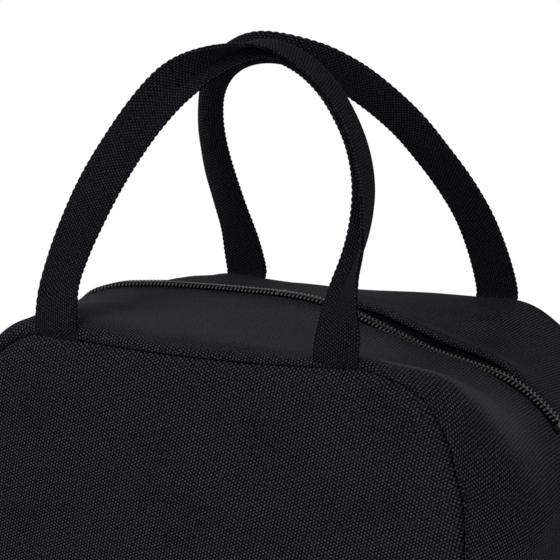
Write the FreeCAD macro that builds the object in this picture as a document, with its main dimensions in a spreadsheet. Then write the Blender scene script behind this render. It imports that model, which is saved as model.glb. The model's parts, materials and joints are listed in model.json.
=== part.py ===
import FreeCAD, Part
import math
import os
import Sketcher

# Soft zip-top lunch bag: +Z up, front faces -Y, origin at the middle of the underside.

doc = FreeCAD.newDocument("LunchBag")
sheet = doc.addObject("Spreadsheet::Sheet", "Sizes")

DRIVING_SIZES = {
    # whole bag
    "panel_width": 220,
    "panel_height": 190,
    "bag_depth": 150,
    "top_corner": 45,
    "base_corner": 20,
    # the middle of the gusset, where the zip runs on one round arc
    "crown_rise": 11.5,
    "zip_radius": 190,
    "zip_end": 38,
    "shoulder": 28,
    "zip_band": 31,
    # wall layers from outside to inside
    "canvas": 0.8,
    "foam": 3.5,
    "lining": 0.5,
    "board": 1.5,
    "ease": 0.25,
    # zip
    "zip_window": 13,
    "tape_width": 15,
    "tape_edge": 1.35,
    "tape_thick": 0.6,
    "tape_tuck": 0.6,
    "coil_width": 3.05,
    "coil_gap": 0.15,
    "coil_height": 2.6,
    "slider_length": 11,
    "slider_width": 9.2,
    "slider_plate": 1.2,
    "slider_lip": 0.8,
    "slider_post": 2,
    "slider_room": 0.3,
    "slider_rest": 35,
    "bail_length": 7,
    "bail_width": 1.8,
    "bail_hole": 1.4,
    "bail_wall": 1,
    "tab_length": 22,
    "tab_width": 7,
    "tab_thick": 1.6,
    "tab_pin": 0.7,
    "tab_droop": 3,
    "stop_length": 1.4,
    # handles
    "webbing_width": 20,
    "webbing_thick": 2.5,
    "handle_spacing": 119,
    "handle_height": 129,
    "handle_lean": 29,
    "pivot_reach": 2,
    "pivot_angle": 100,
    "sewn_length": 18,
    # inside seams
    "binding_thick": 2.4,
    "binding_width": 9,
    # room between pieces that move past each other
    "room": 0.3,
}
for row, (alias, value) in enumerate(DRIVING_SIZES.items(), 1):
    sheet.set("A%d" % row, alias)
    sheet.set("B%d" % row, str(value))
    sheet.setAlias("B%d" % row, alias)
doc.recompute()


def size(expression):
    """The value of an expression in the sheet's aliases."""
    return float(sheet.evalExpression(expression))


def bind(item, path, expression):
    item.setExpression(path, expression)


# Distances inward from the outer skin at which each wall layer starts and ends
SKIN = "0"
CANVAS_BACK = "Sizes.canvas"
FOAM_FACE = "(Sizes.canvas + Sizes.ease)"
FOAM_BACK = f"({FOAM_FACE} + Sizes.foam)"
LINING_FACE = f"({FOAM_BACK} + Sizes.ease)"
LINING_BACK = f"({LINING_FACE} + Sizes.lining)"
LAYERS = {
    "canvas": (SKIN, CANVAS_BACK),
    "foam": (FOAM_FACE, FOAM_BACK),
    "lining": (LINING_FACE, LINING_BACK),
}

# Places worked out from the driving sizes
HALF_WIDTH = "(Sizes.panel_width / 2)"
HALF_DEPTH = "(Sizes.bag_depth / 2)"
TOP = "Sizes.panel_height"
FLAT_TOP = "(Sizes.panel_width / 2 - Sizes.top_corner)"
FLAT_BASE = "(Sizes.panel_width / 2 - Sizes.base_corner)"
FLAP_END = "(Sizes.panel_width / 2 - Sizes.top_corner - Sizes.room)"
CORNER_FOOT = "(Sizes.panel_height - Sizes.top_corner)"
HALF_BAND = "(Sizes.zip_band / 2)"
ZIP_AXIS = "(Sizes.panel_height + Sizes.crown_rise - Sizes.zip_radius)"
ZIP_END_ANGLE = "(Sizes.zip_end * 1 deg)"
SHOULDER_X = f"((Sizes.zip_radius - Sizes.shoulder) * sin({ZIP_END_ANGLE}))"
SHOULDER_Z = f"({ZIP_AXIS} + (Sizes.zip_radius - Sizes.shoulder) * cos({ZIP_END_ANGLE}))"
TAPE_TOP = "Sizes.canvas"
TAPE_BACK = "(Sizes.canvas + Sizes.tape_thick)"


def zip_height(inset, across):
    """Height of the zip's arc, set inward, at a distance across from the middle."""
    return f"({ZIP_AXIS} + sqrt((Sizes.zip_radius - {inset})^2 - ({across})^2))"


def zip_end(inset):
    """The place where the zip's arc, set inward, ends and the shoulder begins."""
    reach = f"(Sizes.zip_radius - {inset})"
    return f"({reach} * sin({ZIP_END_ANGLE}))", f"({ZIP_AXIS} + {reach} * cos({ZIP_END_ANGLE}))"


def new_body(label):
    body = doc.addObject("PartDesign::Body", label)
    body.Label = label
    return body


def new_sketch(body, name, role, offset):
    """A sketch on one of the body's origin planes, moved along the plane's normal."""
    sketch = body.newObject("Sketcher::SketchObject", name)
    plane = [p for p in body.Origin.OriginFeatures if p.Role == role][0]
    sketch.AttachmentSupport = [(plane, "")]
    sketch.MapMode = "FlatFace"
    bind(sketch, "AttachmentOffset.Base.z", offset)
    return sketch


def arc_between(start, end, radius, centre_left):
    """A round arc of one radius; the centre lies left or right of the way from start to end."""
    middle = (start + end) / 2
    along = end - start
    half = along.Length / 2
    normal = FreeCAD.Vector(-along.y, along.x, 0).normalize()
    rise = math.sqrt(max(radius ** 2 - half ** 2, 0))
    centre = middle + normal * (rise if centre_left else -rise)
    first, last = (start, end) if centre_left else (end, start)
    angles = [math.atan2(p.y - centre.y, p.x - centre.x) for p in (first, last)]
    if angles[1] < angles[0]:
        angles[1] += 2 * math.pi
    circle = Part.Circle(centre, FreeCAD.Vector(0, 0, 1), radius)
    return Part.ArcOfCircle(circle, angles[0], angles[1])


def add_loop(sketch, corners):
    """A closed loop. A corner is (across, up), with (radius, centre_left) added where an arc leaves it."""
    count = len(corners)
    points = [FreeCAD.Vector(size(c[0]), size(c[1]), 0) for c in corners]
    ends = []
    for i, corner in enumerate(corners):
        start, end = points[i], points[(i + 1) % count]
        if len(corner) == 2:
            index = sketch.addGeometry(Part.LineSegment(start, end), False)
            ends.append((index, 1, 2))
            continue
        radius, centre_left = corner[2], corner[3]
        index = sketch.addGeometry(arc_between(start, end, size(radius), centre_left), False)
        ends.append((index, 1, 2) if centre_left else (index, 2, 1))
    for i, corner in enumerate(corners):
        index, first, last = ends[i]
        after, after_first, _ = ends[(i + 1) % count]
        sketch.addConstraint(Sketcher.Constraint("Coincident", index, last, after, after_first))
        places = (("DistanceX", corner[0], points[i].x), ("DistanceY", corner[1], points[i].y))
        for kind, expression, value in places:
            fixed = sketch.addConstraint(Sketcher.Constraint(kind, index, first, value))
            bind(sketch, "Constraints[%d]" % fixed, expression)
        if len(corner) > 2:
            round_one = sketch.addConstraint(Sketcher.Constraint("Radius", index, size(corner[2])))
            bind(sketch, "Constraints[%d]" % round_one, corner[2])


def cross_section(body, name, loops, depth):
    """A sketch of closed loops across the bag, at a place along Y."""
    sketch = new_sketch(body, name, "XZ_Plane", f"-({depth})")
    for loop in loops:
        add_loop(sketch, loop)
    return sketch


def pad(body, sketch, length, towards_back):
    feature = body.newObject("PartDesign::Pad", sketch.Name + "Pad")
    feature.Profile = sketch
    feature.Reversed = towards_back
    bind(feature, "Length", length)
    sketch.Visibility = False
    return feature


def loft(body, first, last):
    feature = body.newObject("PartDesign::AdditiveLoft", last.Name + "Loft")
    feature.Profile = first
    feature.Sections = [last]
    feature.Ruled = True
    return feature


def panel_outline(inset):
    """The front panel's outline, set inward by one distance all round."""
    side, low, high = f"({HALF_WIDTH} - {inset})", f"({inset})", f"({TOP} - {inset})"
    base_round = f"(Sizes.base_corner - {inset})"
    top_round = f"(Sizes.top_corner - {inset})"
    return [
        (f"-{FLAT_BASE}", low),
        (FLAT_BASE, low, base_round, True),
        (side, "Sizes.base_corner"),
        (side, CORNER_FOOT, top_round, True),
        (FLAT_TOP, high),
        (f"-{FLAT_TOP}", high, top_round, True),
        (f"-{side}", CORNER_FOOT),
        (f"-{side}", "Sizes.base_corner", base_round, True),
    ]


def mirrored(loop, side):
    """The same loop, or its mirror image across the middle for the left side."""
    if side > 0:
        return loop
    turned = [loop[0]] + loop[:0:-1]
    result = []
    for i, corner in enumerate(turned):
        before = loop[(len(loop) - 1 - i) % len(loop)]
        place = (f"-({corner[0]})", corner[1])
        result.append(place + (before[2], before[3]) if len(before) > 2 else place)
    return result


def panel_layer(label, layer, face):
    """One flat layer of the front (face -1) or rear (face 1) wall."""
    outer, inner = LAYERS[layer]
    body = new_body(label)
    depth = f"{face} * ({HALF_DEPTH} - {outer})"
    outline = cross_section(body, label + "Outline", [panel_outline(outer)], depth)
    pad(body, outline, f"{inner} - {outer}", face < 0)
    return body


def handle_pockets(body, face):
    """Two shallow pockets in a foam layer, for the sewn ends of the handle."""
    low, high = f"({TOP} - {FOAM_FACE} - Sizes.sewn_length)", f"({TOP} - {FOAM_FACE})"
    loops = []
    for side in (-1, 1):
        left = f"({side} * Sizes.handle_spacing / 2 - Sizes.webbing_width / 2)"
        right = f"({side} * Sizes.handle_spacing / 2 + Sizes.webbing_width / 2)"
        loops.append([(left, low), (right, low), (right, high), (left, high)])
    sketch = cross_section(body, body.Label + "Pockets", loops, f"{face} * ({HALF_DEPTH} - {FOAM_FACE})")
    pocket = body.newObject("PartDesign::Pocket", body.Label + "Pocket")
    pocket.Profile = sketch
    pocket.Reversed = face > 0
    bind(pocket, "Length", "Sizes.webbing_thick")


def handle_ends(label, face):
    """The two ends of the webbing, sewn in between the panel and its foam."""
    boxes = []
    for side in (-1, 1):
        box = doc.addObject("Part::Box", label + ("Left" if side < 0 else "Right"))
        bind(box, "Length", "Sizes.webbing_width")
        bind(box, "Width", "Sizes.webbing_thick")
        bind(box, "Height", "Sizes.sewn_length")
        bind(box, "Placement.Base.x", f"{side} * Sizes.handle_spacing / 2 - Sizes.webbing_width / 2")
        back = "0" if face < 0 else "Sizes.webbing_thick"
        bind(box, "Placement.Base.y", f"{face} * ({HALF_DEPTH} - {FOAM_FACE}) - {back}")
        bind(box, "Placement.Base.z", f"{TOP} - {FOAM_FACE} - Sizes.sewn_length")
        boxes.append(box)
    group = doc.addObject("Part::Compound", label)
    group.Label = label
    group.Links = boxes
    return group


def gusset(body, name, seam_loop, middle_loop, layer, face, seam_room, window):
    """A strip from one seam to the zip band, ruled between two sections, then straight to the zip window."""
    inner = LAYERS[layer][1]
    seam = cross_section(body, name + "Seam", [seam_loop], f"{face} * ({HALF_DEPTH} - {inner} - {seam_room})")
    middle = cross_section(body, name + "Middle", [middle_loop], f"{face} * {HALF_BAND}")
    loft(body, seam, middle)
    if window:
        band = cross_section(body, name + "Band", [middle_loop], f"{face} * {HALF_BAND}")
        pad(body, band, f"{HALF_BAND} - Sizes.zip_window / 2", face < 0)


def flap_layer(label, layer, face):
    """The part of a zip strip that swings up between the corners."""
    outer, inner = LAYERS[layer]
    high, low = f"({TOP} - {outer})", f"({TOP} - {inner})"
    arc_high, arc_low = zip_height(outer, FLAP_END), zip_height(inner, FLAP_END)
    seam = [(f"-{FLAP_END}", low), (FLAP_END, low), (FLAP_END, high), (f"-{FLAP_END}", high)]
    middle = [
        (f"-{FLAP_END}", arc_low, f"(Sizes.zip_radius - {inner})", False),
        (FLAP_END, arc_low),
        (FLAP_END, arc_high, f"(Sizes.zip_radius - {outer})", True),
        (f"-{FLAP_END}", arc_high),
    ]
    body = new_body(label)
    gusset(body, label, seam, middle, layer, face, "Sizes.room", layer != "foam")
    return body


def corner_layer(label, layer, face, side):
    """The part of a zip strip that turns down over one corner, to where the zip ends."""
    outer, inner = LAYERS[layer]
    seam = [
        (FLAT_TOP, f"({TOP} - {inner})", f"(Sizes.top_corner - {inner})", False),
        (f"({HALF_WIDTH} - {inner})", CORNER_FOOT),
        (f"({HALF_WIDTH} - {outer})", CORNER_FOOT, f"(Sizes.top_corner - {outer})", True),
        (FLAT_TOP, f"({TOP} - {outer})"),
    ]
    middle = [
        (FLAT_TOP, zip_height(inner, FLAT_TOP), f"(Sizes.zip_radius - {inner})", False),
        zip_end(inner),
        zip_end(outer) + (f"(Sizes.zip_radius - {outer})", True),
        (FLAT_TOP, zip_height(outer, FLAT_TOP)),
    ]
    body = new_body(label)
    gusset(body, label, mirrored(seam, side), mirrored(middle, side), layer, face, "0", layer != "foam")
    return body


def side_layer(label, layer, side):
    """A side band from the zip's end down round the base corner, bulging in the middle of its depth."""
    outer, inner = LAYERS[layer]

    def section(inset_out, inset_in, bulging):
        def wall(inset):
            straight = f"({HALF_WIDTH} - {inset})"
            if not bulging:
                return (straight, CORNER_FOOT), (straight, SHOULDER_Z), straight
            rounded = (f"Sizes.shoulder - {inset}",)
            widest = (f"({SHOULDER_X} + Sizes.shoulder - {inset})", SHOULDER_Z)
            return zip_end(inset) + rounded, widest + rounded, straight

        out_top, out_low, out_foot = wall(inset_out)
        in_top, in_low, in_foot = wall(inset_in)
        base_out, base_in = f"(Sizes.base_corner - {inset_out})", f"(Sizes.base_corner - {inset_in})"
        inner_top = in_top[:2] + ((in_top[2], False) if bulging else ())
        outer_low = out_low[:2] + ((out_low[2], True) if bulging else ())
        return [
            inner_top,
            in_low[:2],
            (in_foot, "Sizes.base_corner", base_in, False),
            (FLAT_BASE, f"({inset_in})"),
            (FLAT_BASE, f"({inset_out})", base_out, True),
            (out_foot, "Sizes.base_corner"),
            outer_low,
            out_top[:2],
        ]

    body = new_body(label)
    seam_loop = mirrored(section(outer, inner, False), side)
    middle_loop = mirrored(section(outer, inner, True), side)
    for face, end in ((-1, "Front"), (1, "Rear")):
        gusset(body, label + end, seam_loop, middle_loop, layer, face, "0", False)
    band = cross_section(body, label + "Band", [middle_loop], f"-{HALF_BAND}")
    pad(body, band, "Sizes.zip_band", True)
    return body


def base_plate(label, low, thick, inset):
    """A flat layer of the base between the side bands' corners."""
    box = doc.addObject("Part::Box", label)
    box.Label = label
    bind(box, "Length", f"2 * {FLAT_BASE}")
    bind(box, "Width", f"Sizes.bag_depth - 2 * {inset}")
    bind(box, "Height", thick)
    bind(box, "Placement.Base.x", f"-{FLAT_BASE}")
    bind(box, "Placement.Base.y", f"-({HALF_DEPTH} - {inset})")
    bind(box, "Placement.Base.z", low)
    return box


def binding_loop(label, face):
    """Tape over the raw seam edges, a ring just inside the lining."""
    near = f"({LINING_BACK} + Sizes.board + Sizes.room)"
    body = new_body(label)
    loops = [panel_outline(near), panel_outline(f"({near} + Sizes.binding_thick)")]
    ring = cross_section(body, label + "Ring", loops, f"{face} * ({HALF_DEPTH} - {LINING_BACK})")
    pad(body, ring, "Sizes.binding_width", face < 0)
    return body


def arc_piece(label, start, end, outside, inside, near, far, face):
    """A piece of the zip: a band of its arc between two angles, from near to far of the middle plane."""
    body = new_body(label)

    def place(angle, inset):
        reach = f"(Sizes.zip_radius - ({inset}))"
        return f"{reach} * sin({angle})", f"({ZIP_AXIS} + {reach} * cos({angle}))"

    loop = [
        place(start, inside) + (f"(Sizes.zip_radius - ({inside}))", False),
        place(end, inside),
        place(end, outside) + (f"(Sizes.zip_radius - ({outside}))", True),
        place(start, outside),
    ]
    sketch = cross_section(body, label + "Arc", [loop], f"{face} * ({near})")
    pad(body, sketch, f"({far}) - ({near})", face > 0)
    return body


# Angles along the zip from the crown: the flaps' ends, the zip's ends and where the coils stop
FLAP_ANGLE = f"asin({FLAP_END} / Sizes.zip_radius)"
CORNER_ANGLE = f"asin({FLAT_TOP} / Sizes.zip_radius)"
STOP_TURN = "(Sizes.stop_length / Sizes.zip_radius * 180 / pi * 1 deg)"
TAPE_END = f"({ZIP_END_ANGLE} - Sizes.tape_tuck * 1 deg)"
TAPE_STRETCHES = {
    "left": (f"-{TAPE_END}", f"-{CORNER_ANGLE}"),
    "top": (f"-{FLAP_ANGLE}", FLAP_ANGLE),
    "right": (CORNER_ANGLE, TAPE_END),
}
COIL_STRETCHES = {
    "left": ("-Sizes.slider_rest * 1 deg", f"-{CORNER_ANGLE}"),
    "top": (f"-{FLAP_ANGLE}", FLAP_ANGLE),
    "right": (CORNER_ANGLE, f"{TAPE_END} - {STOP_TURN}"),
}
COIL_TOP = "Sizes.canvas - Sizes.coil_height"


def zip_pieces(prefix, face):
    pieces = []
    for stretch, (start, end) in TAPE_STRETCHES.items():
        name = f"{prefix}_zip_tape_{stretch}"
        near, far = "Sizes.tape_edge", "Sizes.tape_width"
        pieces.append(arc_piece(name, start, end, TAPE_TOP, TAPE_BACK, near, far, face))
    for stretch, (start, end) in COIL_STRETCHES.items():
        name = f"{prefix}_zip_coil_{stretch}"
        far = "Sizes.coil_gap + Sizes.coil_width"
        pieces.append(arc_piece(name, start, end, COIL_TOP, TAPE_TOP, "Sizes.coil_gap", far, face))
    return pieces


def zip_stops():
    """Two clamps at the closing end, one on each tape, and one across both coils' far end."""
    start, end = f"-{TAPE_END}", f"-{TAPE_END} + {STOP_TURN} / 2"
    clamps = []
    for face, name in ((-1, "FrontClamp"), (1, "RearClamp")):
        near, far = "Sizes.tape_edge", "Sizes.coil_gap + Sizes.coil_width"
        clamps.append(arc_piece(name, start, end, COIL_TOP, TAPE_TOP, near, far, face))
    top = doc.addObject("Part::Compound", "zip_top_stops")
    top.Label = "zip_top_stops"
    top.Links = clamps
    begin = f"{TAPE_END} - {STOP_TURN}"
    half = "Sizes.coil_gap + Sizes.coil_width"
    bottom = arc_piece("zip_bottom_stop", begin, TAPE_END, COIL_TOP, TAPE_TOP, f"-({half})", half, 1)
    return [top, bottom]


# Heights above the zip's axis, in the slider's own frame, where the zip lies along X
COIL_CREST = "(Sizes.zip_radius - Sizes.canvas + Sizes.coil_height)"
PLATE_LOW = f"({COIL_CREST} + Sizes.slider_room)"
PLATE_HIGH = f"({PLATE_LOW} + Sizes.slider_plate)"
SOLE_HIGH = "(Sizes.zip_radius - Sizes.canvas - Sizes.tape_thick - Sizes.slider_room)"
SOLE_LOW = f"({SOLE_HIGH} - Sizes.slider_plate)"
PIN_HEIGHT = f"({PLATE_HIGH} + Sizes.bail_hole)"


def additive_box(body, name, low, high):
    """A box feature between two corners given as expressions."""
    box = body.newObject("PartDesign::AdditiveBox", name)
    for axis, path, start, end in zip("xyz", ("Length", "Width", "Height"), low, high):
        bind(box, path, f"({end}) - ({start})")
        bind(box, "AttachmentOffset.Base." + axis, start)
    box.AttachmentSupport = [([p for p in body.Origin.OriginFeatures if p.Role == "XY_Plane"][0], "")]
    box.MapMode = "FlatFace"
    return box


def place_on_zip(body):
    """Turn a body that was drawn at the crown about the zip's axis to the slider's rest."""
    bind(body, "Placement.Base.z", ZIP_AXIS)
    body.Placement.Rotation = FreeCAD.Rotation(FreeCAD.Vector(0, -1, 0), size("Sizes.slider_rest"))
    bind(body, "Placement.Rotation.Angle", "Sizes.slider_rest * 1 deg")


def slider():
    body = new_body("zip_slider_body")
    half, wide = "Sizes.slider_length / 2", "Sizes.slider_width / 2"
    additive_box(body, "Sole", (f"-{half}", f"-{wide}", SOLE_LOW), (half, wide, SOLE_HIGH))
    post = "Sizes.slider_post / 2"
    post_end = f"-{half} + Sizes.slider_length / 3"
    additive_box(body, "Post", (f"-{half}", f"-{post}", SOLE_LOW), (post_end, post, PLATE_HIGH))
    additive_box(body, "Plate", (f"-{half}", f"-{wide}", PLATE_LOW), (half, wide, PLATE_HIGH))
    lip_low = "(Sizes.zip_radius - Sizes.canvas + Sizes.slider_room)"
    for side, name in ((-1, "FrontLip"), (1, "RearLip")):
        edges = sorted((f"{side} * ({wide})", f"{side} * ({wide} - Sizes.slider_lip)"), key=size)
        additive_box(body, name, (f"-{half}", edges[0], lip_low), (half, edges[1], PLATE_HIGH))
    bail = new_sketch(body, "BailSide", "XZ_Plane", "-Sizes.bail_width / 2")
    reach, rise = "Sizes.bail_length / 2", f"({PIN_HEIGHT} + Sizes.bail_hole + Sizes.bail_wall)"
    foot = f"({PLATE_HIGH} - Sizes.slider_room)"
    add_loop(bail, [(f"-{reach}", foot), (reach, foot), (f"{reach} - Sizes.bail_wall", rise),
                    (f"-{reach} + Sizes.bail_wall", rise)])
    pad(body, bail, "Sizes.bail_width", False)
    hole = new_sketch(body, "BailHole", "XZ_Plane", "-Sizes.bail_width")
    centre = FreeCAD.Vector(0, size(PIN_HEIGHT), 0)
    circle = Part.Circle(centre, FreeCAD.Vector(0, 0, 1), size("Sizes.bail_hole"))
    index = hole.addGeometry(circle, False)
    height = hole.addConstraint(Sketcher.Constraint("DistanceY", index, 3, size(PIN_HEIGHT)))
    bind(hole, "Constraints[%d]" % height, PIN_HEIGHT)
    hole.addConstraint(Sketcher.Constraint("DistanceX", index, 3, 0))
    radius = hole.addConstraint(Sketcher.Constraint("Radius", index, size("Sizes.bail_hole")))
    bind(hole, "Constraints[%d]" % radius, "Sizes.bail_hole")
    cut = body.newObject("PartDesign::Pocket", "BailOpening")
    cut.Profile = hole
    cut.Reversed = True
    bind(cut, "Length", "2 * Sizes.bail_width")
    place_on_zip(body)
    return body


def pull_tab():
    """A flat tab whose head is a pin through the slider's bail, between two arms."""
    body = new_body("zip_pull_tab")
    wide, thick = "Sizes.tab_width / 2", "Sizes.tab_thick / 2"
    arm = "(Sizes.bail_width / 2 + Sizes.room)"
    neck = "-(Sizes.bail_length / 2 + Sizes.room)"
    additive_box(body, "Blade", ("-Sizes.tab_length", f"-{wide}", f"-{thick}"), (neck, wide, thick))
    for side, name in ((-1, "FrontArm"), (1, "RearArm")):
        edges = sorted((f"{side} * {arm}", f"{side} * {wide}"), key=size)
        additive_box(body, name, (neck, edges[0], f"-{thick}"), ("Sizes.tab_thick / 2", edges[1], thick))
    pin = new_sketch(body, "PinEnd", "XZ_Plane", f"-({wide})")
    circle = Part.Circle(FreeCAD.Vector(0, 0, 0), FreeCAD.Vector(0, 0, 1), size("Sizes.tab_pin"))
    index = pin.addGeometry(circle, False)
    pin.addConstraint(Sketcher.Constraint("Coincident", index, 3, -1, 1))
    radius = pin.addConstraint(Sketcher.Constraint("Radius", index, size("Sizes.tab_pin")))
    bind(pin, "Constraints[%d]" % radius, "Sizes.tab_pin")
    pad(body, pin, "Sizes.tab_width", False)
    lean = "(Sizes.slider_rest + Sizes.tab_droop)"
    body.Placement.Rotation = FreeCAD.Rotation(FreeCAD.Vector(0, -1, 0), size(lean))
    bind(body, "Placement.Rotation.Angle", f"{lean} * 1 deg")
    bind(body, "Placement.Base.x", f"-{PIN_HEIGHT} * sin(Sizes.slider_rest)")
    bind(body, "Placement.Base.z", f"{ZIP_AXIS} + {PIN_HEIGHT} * cos(Sizes.slider_rest)")
    return body


def handle(label, face):
    """A webbing arch that stands in one plane, with a round hem at each foot where it swings."""
    body = new_body(label)
    outer = "(Sizes.handle_spacing / 2 + Sizes.webbing_width / 2)"
    inner = "(Sizes.handle_spacing / 2 - Sizes.webbing_width / 2)"
    spring = f"(Sizes.handle_height - {outer})"
    arch = new_sketch(body, label + "Arch", "XZ_Plane", "-Sizes.webbing_thick / 2")
    outer_top, inner_top = f"({spring} + {outer})", f"({spring} + {inner})"
    add_loop(arch, [
        (inner, "0"),
        (outer, "0"),
        (outer, spring, outer, True),
        ("0", outer_top, outer, True),
        (f"-{outer}", spring),
        (f"-{outer}", "0"),
        (f"-{inner}", "0"),
        (f"-{inner}", spring, inner, False),
        ("0", inner_top, inner, False),
        (inner, spring),
    ])
    pad(body, arch, "Sizes.webbing_thick", False)
    for start, name in ((inner, "RightHem"), (f"-{outer}", "LeftHem")):
        hem = new_sketch(body, label + name, "YZ_Plane", start)
        half_thick = size("Sizes.webbing_thick / 2")
        circle = Part.Circle(FreeCAD.Vector(0, 0, 0), FreeCAD.Vector(0, 0, 1), half_thick)
        index = hem.addGeometry(circle, False)
        hem.addConstraint(Sketcher.Constraint("Coincident", index, 3, -1, 1))
        radius = hem.addConstraint(Sketcher.Constraint("Radius", index, half_thick))
        bind(hem, "Constraints[%d]" % radius, "Sizes.webbing_thick / 2")
        pad(body, hem, "Sizes.webbing_width", False)
    body.Placement.Rotation = FreeCAD.Rotation(FreeCAD.Vector(face, 0, 0), size("Sizes.handle_lean"))
    bind(body, "Placement.Rotation.Angle", "Sizes.handle_lean * 1 deg")
    bind(body, "Placement.Base.y", f"{face} * ({HALF_DEPTH} - Sizes.pivot_reach * cos(Sizes.pivot_angle))")
    bind(body, "Placement.Base.z", f"{TOP} + Sizes.pivot_reach * sin(Sizes.pivot_angle)")
    return body


parts = []
for face, wall in ((-1, "front"), (1, "rear")):
    parts.append(panel_layer(f"{wall}_panel", "canvas", face))
    foam_wall = panel_layer(f"{wall}_foam", "foam", face)
    handle_pockets(foam_wall, face)
    parts.append(foam_wall)
    parts.append(panel_layer(f"{wall}_lining", "lining", face))
    parts.append(handle_ends(f"{wall}_handle_ends", face))
    parts.append(binding_loop(f"{wall}_seam_binding", face))
    for layer, word in (("canvas", "strip"), ("foam", "foam"), ("lining", "lining")):
        parts.append(flap_layer(f"{wall}_flap_{word}", layer, face))
        for side, hand in ((-1, "left"), (1, "right")):
            parts.append(corner_layer(f"{wall}_{hand}_corner_{word}", layer, face, side))
    parts += zip_pieces(wall, face)
    parts.append(handle(f"{wall}_handle", face))
for side, hand in ((-1, "left"), (1, "right")):
    for layer, word in (("canvas", "band"), ("foam", "foam"), ("lining", "lining")):
        parts.append(side_layer(f"{hand}_side_{word}", layer, side))
parts.append(base_plate("base_panel", SKIN, "Sizes.canvas", CANVAS_BACK))
parts.append(base_plate("base_board", CANVAS_BACK, "Sizes.board", LINING_BACK))
parts.append(base_plate("base_foam", f"{FOAM_FACE} + Sizes.board", "Sizes.foam", LINING_BACK))
parts.append(base_plate("base_lining", f"{LINING_FACE} + Sizes.board", "Sizes.lining", LINING_BACK))
parts += zip_stops()
parts.append(slider())
parts.append(pull_tab())

doc.recompute()
for item in doc.Objects:
    if "Invalid" in item.State or "Error" in item.State:
        raise RuntimeError("failed object: " + item.Label)
for part in parts:
    if part.Shape.isNull() or not part.Shape.isValid():
        raise RuntimeError("bad shape: " + part.Label)

os.makedirs("parts", exist_ok=True)
for part in parts:
    part.Shape.exportStep(f"parts/{part.Label}.step")
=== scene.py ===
import json
import math

import bmesh
import bpy
import numpy as np
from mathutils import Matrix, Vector


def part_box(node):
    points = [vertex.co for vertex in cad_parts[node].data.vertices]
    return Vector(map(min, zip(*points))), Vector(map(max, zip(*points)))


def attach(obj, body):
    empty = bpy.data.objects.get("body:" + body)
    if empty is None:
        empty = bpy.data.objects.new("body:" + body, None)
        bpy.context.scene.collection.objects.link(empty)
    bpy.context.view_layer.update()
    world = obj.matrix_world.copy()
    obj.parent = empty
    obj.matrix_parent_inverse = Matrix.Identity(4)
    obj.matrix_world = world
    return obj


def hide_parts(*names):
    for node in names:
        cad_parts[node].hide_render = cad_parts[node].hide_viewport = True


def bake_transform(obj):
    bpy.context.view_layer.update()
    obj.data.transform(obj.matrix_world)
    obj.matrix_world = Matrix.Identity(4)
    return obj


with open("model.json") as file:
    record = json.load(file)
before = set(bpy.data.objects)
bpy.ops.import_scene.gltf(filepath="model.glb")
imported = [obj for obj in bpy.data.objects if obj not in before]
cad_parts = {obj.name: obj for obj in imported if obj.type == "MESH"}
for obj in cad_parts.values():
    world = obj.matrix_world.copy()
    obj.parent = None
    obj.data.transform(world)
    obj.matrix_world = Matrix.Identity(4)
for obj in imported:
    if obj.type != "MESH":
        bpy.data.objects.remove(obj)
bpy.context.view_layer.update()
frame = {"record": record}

# Soft zip-top lunch bag. Shapes are worked out in millimetres, in the frame of the CAD model.
MM = 0.001

panel_low, panel_high = [np.array(corner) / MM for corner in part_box("front_panel")]
HALF_WIDTH = float(panel_high[0])
TOP = float(panel_high[2])
SEAM_Y = float(-panel_low[1])
TOP_ROUND = 45.0
BASE_ROUND = 20.0
FLAT_TOP = HALF_WIDTH - TOP_ROUND
SEAM_HALF = FLAT_TOP + TOP_ROUND * math.pi / 2
CORNER_FOOT = TOP - TOP_ROUND

# The zip's own line as it lies in the photo: (across, height), from its left end to its right end
ZIP_LINE = [
    (-117.0, 161.2), (-113.0, 164.2), (-109.0, 167.1), (-105.0, 170.2), (-101.0, 176.0), (-97.0, 184.4),
    (-90.5, 191.0), (-80.5, 194.8), (-63.0, 197.2), (-40.0, 198.2), (-17.0, 198.4), (0.0, 198.3),
    (14.0, 197.0), (31.0, 192.6), (49.0, 186.4), (64.0, 181.2), (78.0, 178.2), (89.0, 175.8),
    (98.0, 172.4), (107.0, 166.6), (113.0, 161.2), (117.0, 156.8),
]
# The middle of a side band below the zip's end, round the base corner: (across, height)
SIDE_LINE = [
    (123.4, 148.6), (126.8, 137.0), (126.2, 122.0), (122.5, 90.0),
    (117.5, 55.0), (113.2, 32.0), (109.6, 17.0), (103.2, 5.2), (90.0, 0.4),
]
GUSSET_LINE = [(-x, z) for x, z in SIDE_LINE[::-1]] + ZIP_LINE + SIDE_LINE
# How the cloth is sewn: sag of the top seam, the roll beside it, and layers
SEAM_DROOP = 2.6
SEAM_ROLL = 3.6
SEAM_DIP = 2.5
SIDE_DIP = 2.1
DIP_WIDTH = 2.2
PADDING = 1.4
BULGE = 2.2
SEAM_TUCK = math.radians(-55)
TUCKED_RISE = math.sin(-SEAM_TUCK) / (1 + math.sin(-SEAM_TUCK))
CANVAS_THICK = 0.8
FILM_THICK = 0.3
TAPE_THICK = 0.55
SIDE_POWER = 1.8
ROLL_ROWS = 13
SIDE_LIP = 1.0
SLACK_ROLL = 17.0
FOLD_HEIGHT = 7.0
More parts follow.
